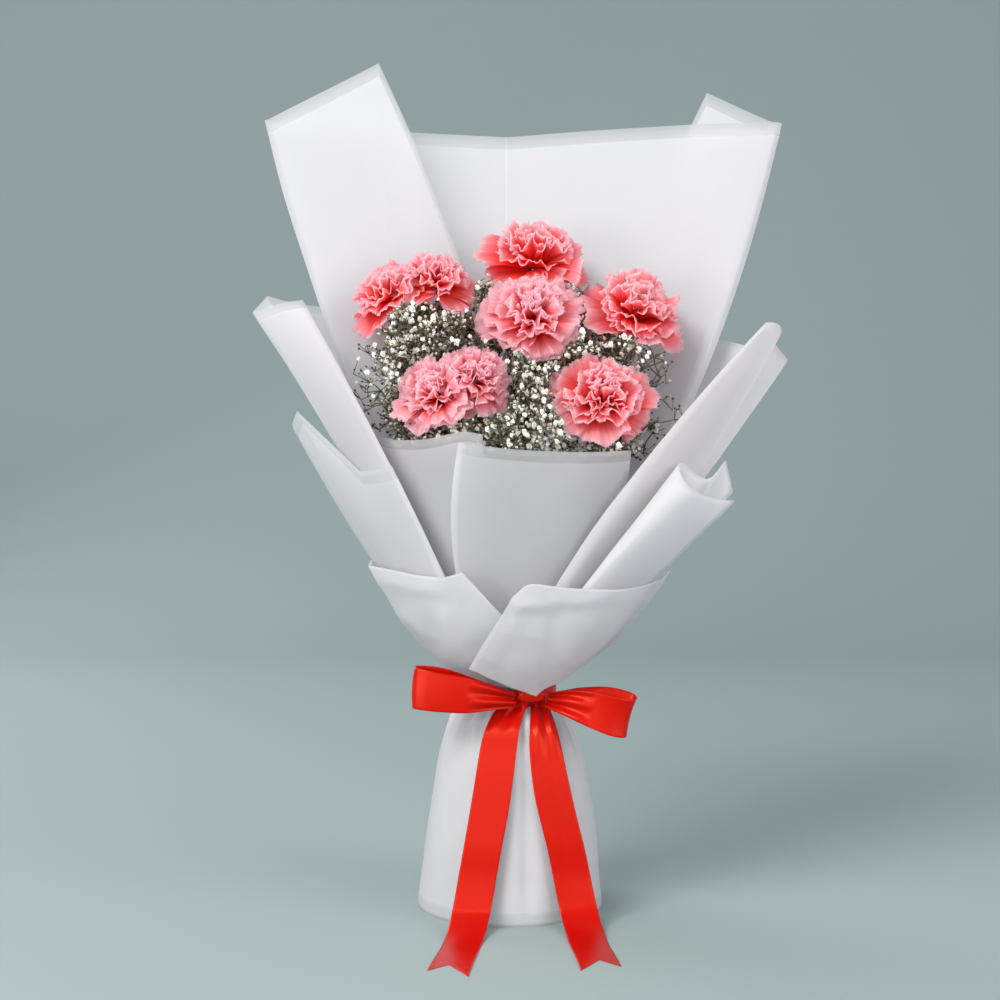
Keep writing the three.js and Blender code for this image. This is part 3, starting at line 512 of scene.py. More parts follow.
def crumple(columns, depth, seed, pleats, crush, name):
    """Soft dents and long creases that run up from the waist, none at the waist itself."""
    high, wide = len(columns[0]), len(columns)
    moved = []
    for i in range(wide):
        row = []
        for j in range(high):
            across = columns[min(i + 1, wide - 1)][j] - columns[max(i - 1, 0)][j]
            along = columns[i][min(j + 1, high - 1)] - columns[i][max(j - 1, 0)]
            normal = across.cross(along).normalized()
            s = j / (high - 1)
            p = columns[i][j] - AXIS
            angle = math.atan2(p.y + 0.12, p.x)
            # wide streaks and narrower creases run up the sheet, and dents are as wide as high
            streak = noise.noise(Vector((angle * 5.0, s * 1.1, seed)))
            crease = 0.5 - abs(noise.noise(Vector((angle * 8.0, s * 0.7, seed + 7.3)))) * 2
            dent = noise.noise(Vector(p) * 13 + Vector((seed, 0, 0)))
            # all of them grow from nothing at the waist, where the pleats are
            rise = s ** 0.8 * (1.15 - 0.45 * s)
            push = depth * rise * (0.9 * streak + 0.45 * max(0, crease) + 0.7 * dent)
            push += pleats * (1 - s) ** 3 * abs(math.sin(angle * 15))
            if crush:
                slanted = Vector((p.x * 0.75 + p.z * 0.3, p.y * 0.8, p.z * 1.25 - p.x * 0.35))
                folds = ridge(slanted * 15, seed) + 0.5 * ridge(slanted * 33, seed + 4)
                push += crush * min(1, s * 3) * folds
            push += fold_push(name, columns[i][j])
            row.append(columns[i][j] + normal * push / 1000)
        moved.append(row)
    return moved


print("depth of a ridge at the axis", round(ridge(AXIS * 15, 1.0), 2))

# %% A sheet from its points
FILM = 0.00035
# the second value is the painted fold highlight and glow
OFF_BAND = (0.1, 0.0)  # edge distance and whiteness of a point that isn't found


def sheet_from_points(name, columns, edges, folds):
    """A grid with its points, its two masks and the film's thickness."""
    across, along = len(columns) - 1, len(columns[0]) - 1

    def place(u, v):
        return columns[round(u * across)][round(v * along)]

    sheet = bent_grid(name, across, along, place)
    edge = sheet.data.attributes.new("edge", "FLOAT", "POINT")
    # the crease attribute carries the painted fold highlight and the sheet's painted glow
    crease = sheet.data.attributes.new("crease", "FLOAT", "POINT")
    lookup = {}
    for column, distances, fold in zip(columns, edges, folds):
        for point, distance in zip(column, distances):
            lookup[tuple(round(c, 6) for c in point)] = (distance, fold)
    for vertex in sheet.data.vertices:
        values = lookup.get(tuple(round(c, 6) for c in vertex.co), OFF_BAND)
        edge.data[vertex.index].value, crease.data[vertex.index].value = values
    thicken(sheet, FILM)
    return sheet


print("film", FILM * 1000, "mm thick")

# %% Build the sheets
# dent depth, seed, pleats at the waist, crushed folds, whether the left side has a clear band
# too, share of the band's full width, painted glow of light through the film, strongest where it lies double
CHARACTER = {
    "sheet_back": (2.2, 1.0, 0.4, 0, True, 1.0, 0.35),
    "sheet_left_outer": (1.6, 2.0, 0.4, 0.1, False, 0.7, 0.35),
    "sheet_left_flap": (1.3, 3.0, 0.4, 0.1, False, 1.0, 0.45),
    "sheet_front_left": (1.2, 4.0, 0.4, 0, False, 0.7, 0.1),
    "sheet_front": (1.1, 5.0, 0.4, 0, False, 0.8, 0.0),
    "sheet_right_roll": (1.4, 6.0, 0.4, 0.15, False, 0, 0.5),
    "sheet_lower_right_roll": (0.9, 7.0, 0.4, 0.15, False, 0, 0.5),
    "collar_left": (1.8, 8.0, 1.2, 0.9, False, 0, 0.4),
}
NO_BAND = 0.02
FINE, PLAIN = (0.003, 60), (0.006, 44)  # pitch of the columns and number of rows


def banded(distances, width):
    """Edge distances scaled so that the clear band comes out at a share of its full width, or not."""
    if not width:
        return [[NO_BAND] * len(column) for column in distances]
    return [[value / width for value in column] for column in distances]


for name, rails in SHEETS.items():
    depth, seed, pleats, crush, left_free, width, white = CHARACTER[name]
    pitch, rows = FINE if crush > 0.5 else PLAIN
    full = [full_rail(*rail) for rail in rails]
    points = sheet_points(full, pitch, rows)
    edges = banded(edge_distance(points, left_free), width)
    # painted highlight on the crease columns, and painted glow over the whole sheet
    folds = [max(white, fold) for fold in fold_line(full, pitch)]
    if full[0]["kind"] == "crease":
        # a folded edge at the sheet's own side gets the painted fold highlight as well
        folds[0] = 1.0
    bent = crumple(points, depth, seed, pleats, crush, name)
    sheet = sheet_from_points(name + "_film", bent, edges, folds)
    dress(sheet, frosted, "sheet", name)
    print(sheet.name, len(sheet.data.polygons), "faces")

# %% [markdown]
# The right collar isn't held by the ribbon at its front. Its lower edge hangs free over the knot
# and comes to a point there, so its front rails are given their lower ends as well.

# %% The right collar
# front rails: low, middle and top points; side rails as those of the sheets
COLLAR_FRONT = [
    ((-27, -55, 169), (-14, -73, 193), (2, -84, 218)), ((-4, -54, 158.5), (3, -76, 189), (11, -90, 227)),
    ((17, -51, 150), (21, -76, 186), (26, -90, 226)), ((37, -50, 163), (42, -73, 190), (48, -87, 224)),
    ((45, -38, 167), (63, -58, 190), (72, -77, 223))]
COLLAR_SIDE = [
    (-24, 7, (67, -30, 184), (96, -50, 226)), (-6, 7, (73, -9.5, 184), (108, -14, 230), "corner"),
    (20, 7, (67, 26, 184), (96, 34, 226)), (44, 7, (50, 48, 182), (72, 64, 220))]
# the whiteness is a painted glow that lifts the collar's tone towards white, for light through the film
COLLAR_PITCH, COLLAR_ROWS, COLLAR_WHITENESS = 0.003, 56, 0.35
POINT_Z = 150  # the rail that starts here is the collar's point

free_rails = [{"low": mm(*low), "mid": mm(*mid), "top": mm(*top),
               "kind": "corner" if low[2] == POINT_Z else ""} for low, mid, top in COLLAR_FRONT]
side_rails = [full_rail(*rail) for rail in COLLAR_SIDE]
points = sheet_points(free_rails + side_rails, COLLAR_PITCH, COLLAR_ROWS, foot=False)
bent = crumple(points, 1.8, 9.0, 0.8, 0.8, "collar_right")
whiteness = [COLLAR_WHITENESS] * len(points)
collar = sheet_from_points("collar_right_film", bent, banded(points, 0), whiteness)
dress(collar, frosted, "sheet", "collar_right")
print(collar.name, len(collar.data.polygons), "faces")

# %% [markdown]
# ## Skirt
# Below the ribbon the sheet opens again into a skirt that hides the stems. It is one closed
# ring, so a grid is wrapped round the axis and its two side edges are merged. Gathers run down
# from the tie and die out, and three soft folds reach the rim, which stands flat on the table.

# %% Skirt
SKIRT = [(0, 63.4), (50, 58.8), (104, 50.2), (131, 41.5), (140, 29.4), (151.4, 29.4)]
SHOULDER_Z, SKIRT_TOP = 131, 151.4
GATHERS = 19
# painted glow: lifts the skirt's tone towards white, for light through the film
SKIRT_WHITENESS = 0.4
HEM_INSIDE = 0.0093  # just inside the clear band's soft edge
# folds: azimuth, width in degrees, depth in mm
SKIRT_FOLDS = [(281, 5, -2.8), (258, 7, -1.0), (318, 9, -1.2)]


def skirt_radius(z):
    for (z0, r0), (z1, r1) in zip(SKIRT, SKIRT[1:]):
        if z <= z1:
            return lerp(r0, r1, max(0, (z - z0) / (z1 - z0)))
    return SKIRT[-1][1]


def soft_skirt_radius(z):
    """The same profile with its corners rounded."""
    reach = 9 if z < 120 else 3
    samples = [skirt_radius(min(151, max(0, z + k * reach / 4))) for k in range(-4, 5)]
    return sum(samples) / len(samples)


def bump_at(degrees, centre, width):
    """A smooth bump round one azimuth."""
    away = (degrees - centre + 180) % 360 - 180
    return math.exp(-(away / width) ** 2)


def skirt_point(u, v):
    z = SKIRT_TOP * v
    azimuth = (90 + 360 * u) % 360 if u < 1 else 90
    turn = math.radians(azimuth)
    wave = math.sin(turn * GATHERS + 1.3 * math.sin(turn * 3)) - 1
    gather = 1.1 * math.exp(-((z - SHOULDER_Z) / 20) ** 2) * wave
    fold = sum(depth * bump_at(azimuth, centre, width) for centre, width, depth in SKIRT_FOLDS)
    fold += 1.1 * noise.noise(Vector((math.cos(turn) * 1.7, math.sin(turn) * 1.7, z * 0.012)))
    calm = min(1, z / 25) * min(1, (150 - min(z, 150)) / 15)
    lean = 1.4 * math.cos(turn) * math.sin(math.pi * min(1, z / SHOULDER_Z))
    return polar(soft_skirt_radius(z) + (gather + fold - 0.7 + lean) * calm, azimuth, z)


skirt = bent_grid("skirt_film", 200, 52, skirt_point)
hem = skirt.data.attributes.new("edge", "FLOAT", "POINT")
# the crease attribute here holds only the skirt's painted glow
white = skirt.data.attributes.new("crease", "FLOAT", "POINT")
for vertex in skirt.data.vertices:
    hem.data[vertex.index].value = max(HEM_INSIDE, vertex.co.z + 0.001)
    white.data[vertex.index].value = SKIRT_WHITENESS
close_seams(skirt)
thicken(skirt, FILM)
for vertex in skirt.data.vertices:
    vertex.co.z = max(0, vertex.co.z)
dress(skirt, frosted, "sheet", "skirt")
print(skirt.name, len(skirt.data.polygons), "faces")

# %% [markdown]
# ## Satin ribbon
# Satin is woven so that threads float along it: it is smooth, shines in a broad streak and has
# a thin firm selvedge at both edges. The finish reads the strip's UV map, so threads and
# selvedge follow every loop. A ribbon can't stretch, so where it enters the knot its width is
# taken up by small pleats, not squeezed away.

# %% Satin finish
def satin_finish():
    finish, add = new_material("red_satin")
    uv = add("UVMap", {})
    across = add("SeparateXYZ", {0: uv}, "X")
    from_middle = add("Math", {0: across, 1: 0.5}, operation="SUBTRACT")
    side = add("Math", {0: from_middle}, operation="ABSOLUTE")
    selvedge = add("MapRange", {"Value": side, "From Min": 0.475, "From Max": 0.49})
    place = add("Mapping", {"Vector": uv, "Scale": (90, 5, 1)})
    threads = add("TexNoise", {"Vector": place, "Scale": 1.6, "Detail": 3}, "Fac")
    weave = add("MixRGB", {0: threads, 1: (0.34, 0.001, 0.0005, 1), 2: (0.52, 0.004, 0.001, 1)})
    edged = add("MixRGB", {0: selvedge, 1: weave, 2: (0.42, 0.006, 0.003, 1)})
    relief = add("Bump", {"Height": threads, "Strength": 0.18, "Distance": 0.0004})
    cloth = add("BsdfPrincipled", {"Base Color": edged, "Normal": relief,
                                   "Roughness": 0.27, "Anisotropic": 0.5, "Specular IOR Level": 0.72,
                                   "Specular Tint": (1.0, 0.22, 0.13, 1)})
    add("OutputMaterial", {"Surface": cloth})
    return finish


satin = satin_finish()
print("finish", satin.name)

# %% Strips
RIBBON = 25
SATIN = 0.0003


def through(stations, t):
    """A smooth curve through tuples of numbers, t from 0 to 1."""
    spans = len(stations) - 1
    k = min(spans - 1, int(t * spans))
    f = t * spans - k
    p = [stations[max(0, min(spans, k + d))] for d in (-1, 0, 1, 2)]
    return tuple(0.5 * (2 * b + (c - a) * f + (2 * a - 5 * b + 4 * c - d) * f * f
                        + (3 * b - a - 3 * c + d) * f ** 3) for a, b, c, d in zip(*p))


def strip_length(stations):
    points = [Vector(through(stations, k / 200)[:3]) for k in range(201)]
    return sum((b - a).length for a, b in zip(points, points[1:])) / 1000


def pleat(width, across):
    """Depth of the small pleats that take up the ribbon's width where it is gathered."""
    spare = max(0.0, RIBBON / max(width, 1) - 1.09)
    return 0.19 * width * math.sqrt(spare) * math.sin(across * math.pi * 4 + 0.6)


print("spare width of a ribbon squeezed to 15 mm", round(RIBBON / 15 - 1.09, 2))


# %% Loops
def loop_piece(name, stations, lean, node):
    """A loop through stations of x, y, z and width, with its width leaning by a share."""
    def place(u, v):
        x, y, z, width = through(stations, v)
        ahead = Vector(through(stations, min(1, v + 0.01))[:3])
        behind = Vector(through(stations, max(0, v - 0.01))[:3])
        run = (ahead - behind).normalized()
        side = (u - 0.5) * width
        cross = Vector((lean, 0.1, 1)).normalized()
        out = run.cross(cross).normalized()
        crown = 1.1 * (1 - (2 * u - 1) ** 2) * math.sin(math.pi * v)
        point = Vector((x, y, z)) + cross * side + out * (pleat(width, u) * 0.8 - crown)
        return mm(*point)

    piece = bent_grid(name, 20, 110, place)
    thicken(piece, SATIN)
    dress(piece, satin, "ribbon", node)
    strip_length(stations)


LOOP_LEFT = [
    (3.2, -41.0, 146, 10), (-10, -48.0, 148.5, 16), (-28, -54.5, 151, 23), (-48, -56.5, 153.5, 25.5),
    (-61, -53.5, 155.5, 27), (-63.5, -48.5, 156, 27), (-59, -44.5, 156.5, 26), (-44, -43.2, 155.5, 24),
    (-24, -42.6, 152, 17), (-10, -40.6, 148.8, 12), (3.2, -38.4, 146, 9.5)]
LOOP_RIGHT = [
    (24.8, -41.0, 146, 10), (38, -50.5, 145.4, 17), (54, -56.0, 141.8, 23), (68, -56.5, 137.5, 25.5),
    (77.5, -53.0, 135.6, 26), (80, -48.0, 136.6, 26), (76, -44.0, 139.2, 26), (62, -43.6, 143.6, 24),
    (44, -44.0, 147.0, 16), (35, -41.0, 147.0, 12), (24.8, -38.0, 146.0, 9.5)]
loop_piece("loop_left_satin", LOOP_LEFT, 0.06, "ribbon_loop_left")
loop_piece("loop_right_satin", LOOP_RIGHT, 0.28, "ribbon_loop_right")
print("loop lengths", round(strip_length(LOOP_LEFT), 3), round(strip_length(LOOP_RIGHT), 3))

# %% [markdown]
# The tails drop from the knot over the skirt, turn at the table and lie flat on it. Their ends
# are cut to a swallow tail: the last row of the grid is pulled back in its middle.

# %% Tails
TAIL_CLEAR, NOTCH = 1.25, 18
TABLE_LIFT = 0.3
# turn in degrees; height, x, width and how far out from the skirt; y, x on the table; skew of the end
TAILS = {
    "left": (-4, [(146.5, 7.5, 15, 0), (141, 3.4, 18, 0), (136.5, -1, 20.5, 0), (126, -5.5, 23, 0),
                  (114.7, -7.8, 24.3, 0), (98, -10.3, 25, 1.5), (83, -12.6, 25.3, 3),
                  (66, -15.6, 25.3, 4), (51, -18.4, 25, 4.6), (34, -21.5, 25, 5.4),
                  (22, -23.6, 25, 7.4), (12, -25.6, 25, 11), (5.4, -27.5, 25, 20), (1.7, -29.2, 25, 31)],
             [(-106, -31), (-125, -33.4), (-145, -36), (-163.7, -38)], -0.48),
    "right": (10, [(146.5, 18.6, 11, 0), (141, 19.8, 12.5, 0), (136.5, 20.6, 14, 0), (126, 22, 18.5, 0),
                   (114.7, 23.3, 21.7, 0), (98, 25.8, 24, 1.2), (83, 28.6, 25, 2.4),
                   (66, 32.6, 25, 3.2), (51, 36.4, 25, 3.8), (34, 40, 25, 5),
                   (22, 42.4, 25, 7.4), (12, 44.6, 25, 11), (5.4, 46.4, 25, 20), (1.7, 48, 25, 31)],
              [(-102, 49.4), (-120, 51.2), (-138, 53), (-153.8, 54.2)], 0.34),
}


def clear_of_skirt(z, x, width, turn):
    """How far forward a turned strip has to stand so that its whole width is clear of the skirt."""
    outer = skirt_radius(z) + 0.4
    front = 0
    for side in (-1, -0.5, 0, 0.5, 1):
        along = side * width / 2
        px = x + along * math.cos(turn)
        front = max(front, math.sqrt(max(0, outer ** 2 - px ** 2)) + along * math.sin(turn))
    return -(front + TAIL_CLEAR)


for side, (degrees, hanging, lying, skew) in TAILS.items():
    turn = math.radians(degrees)
    stations = []
    for z, x, width, away in hanging:
        lift = away + max(0, (z - SHOULDER_Z) / 8) ** 2 * 1.6
        stations.append((x, clear_of_skirt(z, x, width, turn) - lift, z, width))
    stations += [(x, y, TABLE_LIFT, RIBBON) for y, x in lying]

    def tail_point(u, v, stations=stations, turn=turn, skew=skew):
        x, y, z, width = through(stations, v)
        across = (u - 0.5) * width
        end = max(0, (v - 0.86) / 0.14)
        pull = NOTCH * end * (1 - abs(2 * u - 1)) + skew * across * end
        flat = math.cos(turn) if z > 30 else lerp(1, math.cos(turn), z / 30)
        deep = math.sin(turn) * min(1, z / 30)
        fold = pleat(width, u) * 0.55
        point = Vector((x + across * flat, y + across * deep + fold + pull, z))
        point.z = max(0.16, point.z)
        return mm(*point)

    tail = bent_grid(f"tail_{side}_satin", 20, 150, tail_point)
    thicken(tail, SATIN)
    dress(tail, satin, "ribbon", f"ribbon_tail_{side}")
    strip_length(stations)
    print(tail.name, "length", round(strip_length(stations), 3))

# %% [markdown]
# The band is the same ribbon folded double round the waist, and the knot is a short turn of it
# pulled tight: a rounded block with folds that run over it from top to bottom.

# %% Band and knot
BAND_LOW, BAND_HIGH = 139.9, 151.2
BAND_RADIUS, HALF_GAP = 31.3, 0.3
KNOT, KNOT_SIZE = Vector((14, -37.8, 148.4)), (9.8, 4.6, 3.9)


def band_point(u, v):
    tall = BAND_HIGH - BAND_LOW
    path = v * (2 * tall + 1)
    if path < tall:
        z, radius = BAND_LOW + path, BAND_RADIUS + HALF_GAP
    elif path < tall + 1:
        turn = (path - tall) * math.pi
        z, radius = BAND_HIGH + HALF_GAP * math.sin(turn), BAND_RADIUS + HALF_GAP * math.cos(turn)
    else:
        z, radius = BAND_HIGH - (path - tall - 1), BAND_RADIUS - HALF_GAP
    ripple = 0.12 * math.sin(u * 2 * math.pi * 9 + z)
    return polar(radius + ripple, 90 + 360 * u, z)


band = bent_grid("band_satin", 120, 24, band_point)
close_seams(band)
thicken(band, 0.00025)
dress(band, satin, "ribbon", "ribbon_band")

deselect()
bpy.ops.mesh.primitive_uv_sphere_add(segments=56, ring_count=28, radius=1)
knot = bpy.context.object
knot.name = knot.data.name = "knot_satin"
for vertex in knot.data.vertices:
    c = vertex.co.copy()
    boxy = Vector([math.copysign(abs(value) ** 0.7, value) for value in c])
    waist = 0.10 * (1 - abs(c.z)) * abs(c.x) ** 6
    folds = 1 + 0.05 * math.sin(boxy.x * 9 + 1.2 * math.sin(c.z * 3)) - waist
    wide, deep, tall = KNOT_SIZE
    vertex.co = mm(*(KNOT + Vector((boxy.x * wide, boxy.y * deep * folds, boxy.z * tall * folds))))
bpy.ops.object.shade_smooth()
dress(knot, satin, "ribbon", "ribbon_knot")
print("knot", len(knot.data.polygons), "faces")

# %% [markdown]
# ## Stems
# The solids say where each stem enters the binding and where it stands, so a cut through the
# solid at two heights finds the stem's middle there. A round tube then follows the same line,
# with a slim ribbed calyx and narrow leaves, in the waxy grey-green of carnations.

# %% Green finish
def green_finish():
    finish, add = new_material("waxy_green")
    place = add("TexCoord", {}, "Object")
    stretch = add("Mapping", {"Vector": place, "Scale": (1, 1, 0.25)})
    mottle = add("TexNoise", {"Vector": stretch, "Scale": 90, "Detail": 4}, "Fac")
    tone = add("MixRGB", {0: mottle, 1: (0.05, 0.13, 0.04, 1), 2: (0.17, 0.30, 0.11, 1)})
    relief = add("Bump", {"Height": mottle, "Strength": 0.25, "Distance": 0.0006})
    skin = add("BsdfPrincipled", {"Base Color": tone, "Normal": relief,
                                  "Roughness": 0.55, "Coat Weight": 0.08})
    add("OutputMaterial", {"Surface": skin})
    return finish


waxy_green = green_finish()
print("finish", waxy_green.name)

# %% Where the heads stand
# middle of each bloom, and the way it faces
HEADS = {
    "top": ((18, 26, 447), (0.05, -0.42, 0.9)), "middle": ((12.5, -26, 402), (0.0, -0.78, 0.62)),
    "right": ((87, 0, 407), (0.28, -0.58, 0.76)), "lower_right": ((62, -50, 347), (0.1, -0.74, 0.66)),
    "lower_left": ((-41, -48, 352), (-0.06, -0.72, 0.7)), "top_left": ((-66, -9, 422), (-0.2, -0.42, 0.88)),
}
DOME, CALYX = 13, 26

heads = {}
for name, (centre, face) in HEADS.items():
    facing = Vector(face).normalized()
    heads[name] = {"facing": facing, "base": mm(*centre) - facing * DOME / 1000}
print(len(heads), "heads")


# %% Tubes
def cut_centre(node, z):
    """Middle of a node's cross-section at a height, in metres."""
    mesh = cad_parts[node].data
    crossings = []
    for edge in mesh.edges:
        a, b = (mesh.vertices[i].co for i in edge.vertices)
        if (a.z - z) * (b.z - z) < 0:
            crossings.append(a.lerp(b, (z - a.z) / (b.z - a.z)))
    return sum(crossings, Vector()) / len(crossings)


def skin_rings(faces, first, rings, sides):
    """Adds the faces between rings of points that follow each other, and closes both ends."""
    for k in range(rings - 1):
        for n in range(sides):
            a = first + k * sides + n
            b = first + k * sides + (n + 1) % sides
            faces.append((a, b, b + sides, a + sides))
    last = first + (rings - 1) * sides
    faces.append(tuple(first + n for n in reversed(range(sides))))
    faces.append(tuple(last + n for n in range(sides)))


def tube_into(verts, faces, points, radii, sides):
    """Adds a tube with closed ends along the points to the lists."""
    first = len(verts)
    side_dir = Vector((1, 0, 0))
    for k, point in enumerate(points):
        run = (points[min(k + 1, len(points) - 1)] - points[max(k - 1, 0)]).normalized()
        side_dir = (side_dir - run * side_dir.dot(run)).normalized()
        other = run.cross(side_dir)
        for n in range(sides):
            turn = 2 * math.pi * n / sides
            verts.append(point + (side_dir * math.cos(turn) + other * math.sin(turn)) * radii[k])
    skin_rings(faces, first, len(points), sides)


print("a stem stands at", cut_centre("stem_top", 0.003)[:])


# %% Leaves and calyces
def leaf_into(verts, faces, base, outward, length, width, droop=0.36):
    """Adds a narrow folded leaf, closed all round, to the lists."""
    side = Vector((-outward.y, outward.x, 0)).normalized()
    first, steps = len(verts), 9
    for j in range(steps + 1):
        s = j / steps
        half = width * math.sin(math.pi * (0.12 + 0.86 * s)) + 0.00015
        spine = base + outward * (length * 0.42 * s) + Vector((0, 0, length * (s - droop * s * s)))
        keel = outward * (half * 0.35)
        for shift in (side * half, -keel, -side * half, Vector()):
            verts.append(spine + shift)
    skin_rings(faces, first, steps + 1, 4)


def calyx_into(verts, faces, base, facing):
    """Adds a ribbed cup with five pointed teeth at its mouth to the lists."""
    turn = Vector((0, 0, 1)).rotation_difference(facing)
    first, sides, rings = len(verts), 20, 9
    for j in range(rings + 1):
        s = j / rings
        radius = lerp(3.4, 7.2, s ** 0.7)
        for n in range(sides):
            angle = 2 * math.pi * n / sides
            tooth = max(0, math.cos(angle * 5)) * 3.4 if j == rings else 0
            ribbed = radius * (1 + 0.03 * math.cos(angle * 10)) + (0.5 if j == rings else 0)
            height = (s - 1) * CALYX + tooth - 0.6
            local = Vector((ribbed * math.cos(angle), ribbed * math.sin(angle), height))
            verts.append(base + turn @ (local / 1000))
    skin_rings(faces, first, rings + 1, sides)


def mesh_piece(name, verts, faces):
    mesh = bpy.data.meshes.new(name)
    mesh.from_pydata([v[:] for v in verts], [], faces)
    mesh.update()
    piece = bpy.data.objects.new(name, mesh)
    bpy.context.collection.objects.link(piece)
    return piece


trial = ([], [])
leaf_into(*trial, Vector(), Vector((1, 0, 0)), 0.040, 0.0026)
print("a leaf has", len(trial[1]), "faces")

# %% Stems with their calyces
STEM_RADIUS, STEM_STEPS = 2.5, 40
NODE_EVERY = 12  # steps from one swollen node of the stem to the next
CUT_Z, CROSSING_Z = 0.003, 0.146  # metres, near the table and inside the binding
# leaves further down: share of the way up from the binding, turn round the stem, length
LOW_LEAVES = ((0.30, 140, 0.05), (0.46, -120, 0.045))

for name, head in heads.items():
    facing, base = head["facing"], head["base"]
    node = f"stem_{name}"
    foot = cut_centre(node, CUT_Z)
    cross = cut_centre(node, CROSSING_Z)
    neck = base - facing * CALYX / 1000
    below = base - facing * (CALYX + 16) / 1000 + Vector((0, 0, -0.008))
    foot.z = 0.0
    line = [foot, foot.lerp(cross, 0.5), cross, cross.lerp(below, 0.42), cross.lerp(below, 0.82),
            below.lerp(neck, 0.35), neck + facing * 0.003]
    steps = range(STEM_STEPS + 1)
    path = [Vector(through([tuple(p) for p in line], k / STEM_STEPS)) for k in steps]
    radii = [STEM_RADIUS / 1000 * (1.12 if k % NODE_EVERY == 6 else 0.98) for k in steps]
    verts, faces = [], []
    tube_into(verts, faces, path, radii, 12)
    calyx_into(verts, faces, base, facing)
    outward = Vector((line[4].x - AXIS.x, line[4].y - AXIS.y, 0)).normalized()
    leaf_into(verts, faces, line[4], outward, 0.040, 0.0026)
    for share, angle, size in LOW_LEAVES:
        spin = Matrix.Rotation(math.radians(angle), 3, "Z")
        leaf_into(verts, faces, cross.lerp(below, share), spin @ outward, size, 0.0022, 0.2)
    stem = mesh_piece(f"stem_{name}_green", verts, faces)
    only(stem)
    bpy.ops.object.shade_smooth_by_angle(angle=math.radians(50))
    dress(stem, waxy_green, "stem", node)
    print(stem.name, len(stem.data.polygons), "faces")

# %% [markdown]
# The stems are bound with a few turns of twine before they are wrapped. A coil of five turns
# stands for it, each a thin ring with a twisted look from its finish.

# %% Twine
def twine_finish():
    finish, add = new_material("jute_twine")
    place = add("TexCoord", {}, "Object")
    twist = add("TexWave", {"Vector": place, "Scale": 260, "Distortion": 3}, "Fac",
                bands_direction="DIAGONAL")
    tone = add("MixRGB", {0: twist, 1: (0.26, 0.18, 0.09, 1), 2: (0.50, 0.38, 0.21, 1)})
    relief = add("Bump", {"Height": twist, "Distance": 0.0008})
    fibre = add("BsdfPrincipled", {"Base Color": tone, "Normal": relief, "Roughness": 0.9})
    add("OutputMaterial", {"Surface": fibre})
    return finish


jute = twine_finish()
TWINE_TURNS, LOWEST_TURN, TURN_STEP = 5, 141.4, 2.3
turns = []
for k in range(TWINE_TURNS):
    deselect()
    bpy.ops.mesh.primitive_torus_add(location=mm(0, 0, LOWEST_TURN + TURN_STEP * k), major_radius=0.0165,
                                     minor_radius=0.0012, major_segments=64, minor_segments=10)
    turns.append(bpy.context.object)
twine = join(turns, "binding_twine")
bpy.ops.object.transform_apply(location=True, rotation=True, scale=True)
bpy.ops.object.shade_smooth()
dress(twine, jute, "twine", "stem_binding")
print("twine", len(twine.data.polygons), "faces")

# %% [markdown]
# ## Carnation blooms
# A carnation is a dome of fan-shaped petals in many layers. Each petal is narrow at its foot,
# widens fast, waves strongly and ends in a pinked edge like a cut made with zigzag scissors.
# Its colour runs from deep coral in the throat to pale pink at the rim: partly its own colour, and in the
# throat partly painted shade for the hollows between petals. One petal is a grid
# bent by a formula. A few variants are made for every ring and copied round the heart.

# %% Petal finish
# from the throat, 0, to the rim, 1: the petals' own colours, with painted shade deepening the throat
PETAL_COLOURS_AND_SHADE = [
    (0.0, (1.0, 0.022, 0.006)), (0.42, (1.0, 0.060, 0.028)), (0.58, (1.0, 0.130, 0.105)),
    (0.74, (1.0, 0.250, 0.255)), (0.90, (1.0, 0.46, 0.50)), (1.0, (1.0, 0.80, 0.84))]


def petal_finish():
    finish, add = new_material("carnation_petal")
    uv = add("UVMap", {})
    run = add("SeparateXYZ", {0: uv}, "Y")
    place = add("Mapping", {"Vector": uv, "Scale": (30, 2.2, 1)})
    veins = add("TexNoise", {"Vector": place, "Scale": 1.0, "Detail": 3}, "Fac")
    shift = add("Math", {0: veins, 1: 0.26, 2: -0.13}, operation="MULTIPLY_ADD")
    along = add("Math", {0: run, 1: shift}, operation="ADD")
    # the ramp's deep throat is partly painted shade for the hollows between petals
    ramp = add("ValToRGB", {"Fac": along})
    stops = ramp.node.color_ramp.elements
    for position, _ in PETAL_COLOURS_AND_SHADE[1:-1]:
        stops.new(position)
    for stop, (_, colour) in zip(stops, PETAL_COLOURS_AND_SHADE):
        stop.color = (*colour, 1)
    tint = add("Attribute", {}, "Fac", attribute_name="tint")
    rim = add("MapRange", {"Value": along, "From Min": 0.40, "From Max": 0.92})
    share = add("Math", {0: tint, 1: rim}, operation="MULTIPLY")
    pale = add("MixRGB", {0: share, 1: ramp, 2: (1.0, 0.74, 0.80, 1)})
    relief = add("Bump", {"Height": veins, "Strength": 0.35, "Distance": 0.0006})
    skin = add("BsdfPrincipled", {"Base Color": pale, "Normal": relief, "Roughness": 0.62,
                                  "Sheen Weight": 0.08, "Specular IOR Level": 0.2})
    glow = add("BsdfTranslucent", {"Color": pale})
    both = add("MixShader", {0: 0.70, 1: skin, 2: glow})
    add("OutputMaterial", {"Surface": both})
    return finish


petal_skin = petal_finish()
print("finish", petal_skin.name)

# %% One petal
# count, length, lean at the foot and at the edge, width, waviness
RINGS = [
    (7, 37, 74, 110, 37, 2.0), (7, 33, 60, 94, 33, 2.4), (6, 30, 45, 75, 31, 2.9),
    (6, 29, 31, 58, 28, 3.3), (6, 28, 18, 42, 25, 3.5), (5, 27, 5, 26, 22, 3.3), (4, 25.5, -8, 12, 18, 3.0)]
TEETH, VARIANTS = 36, 5
PETAL_THICKNESS = 0.00022


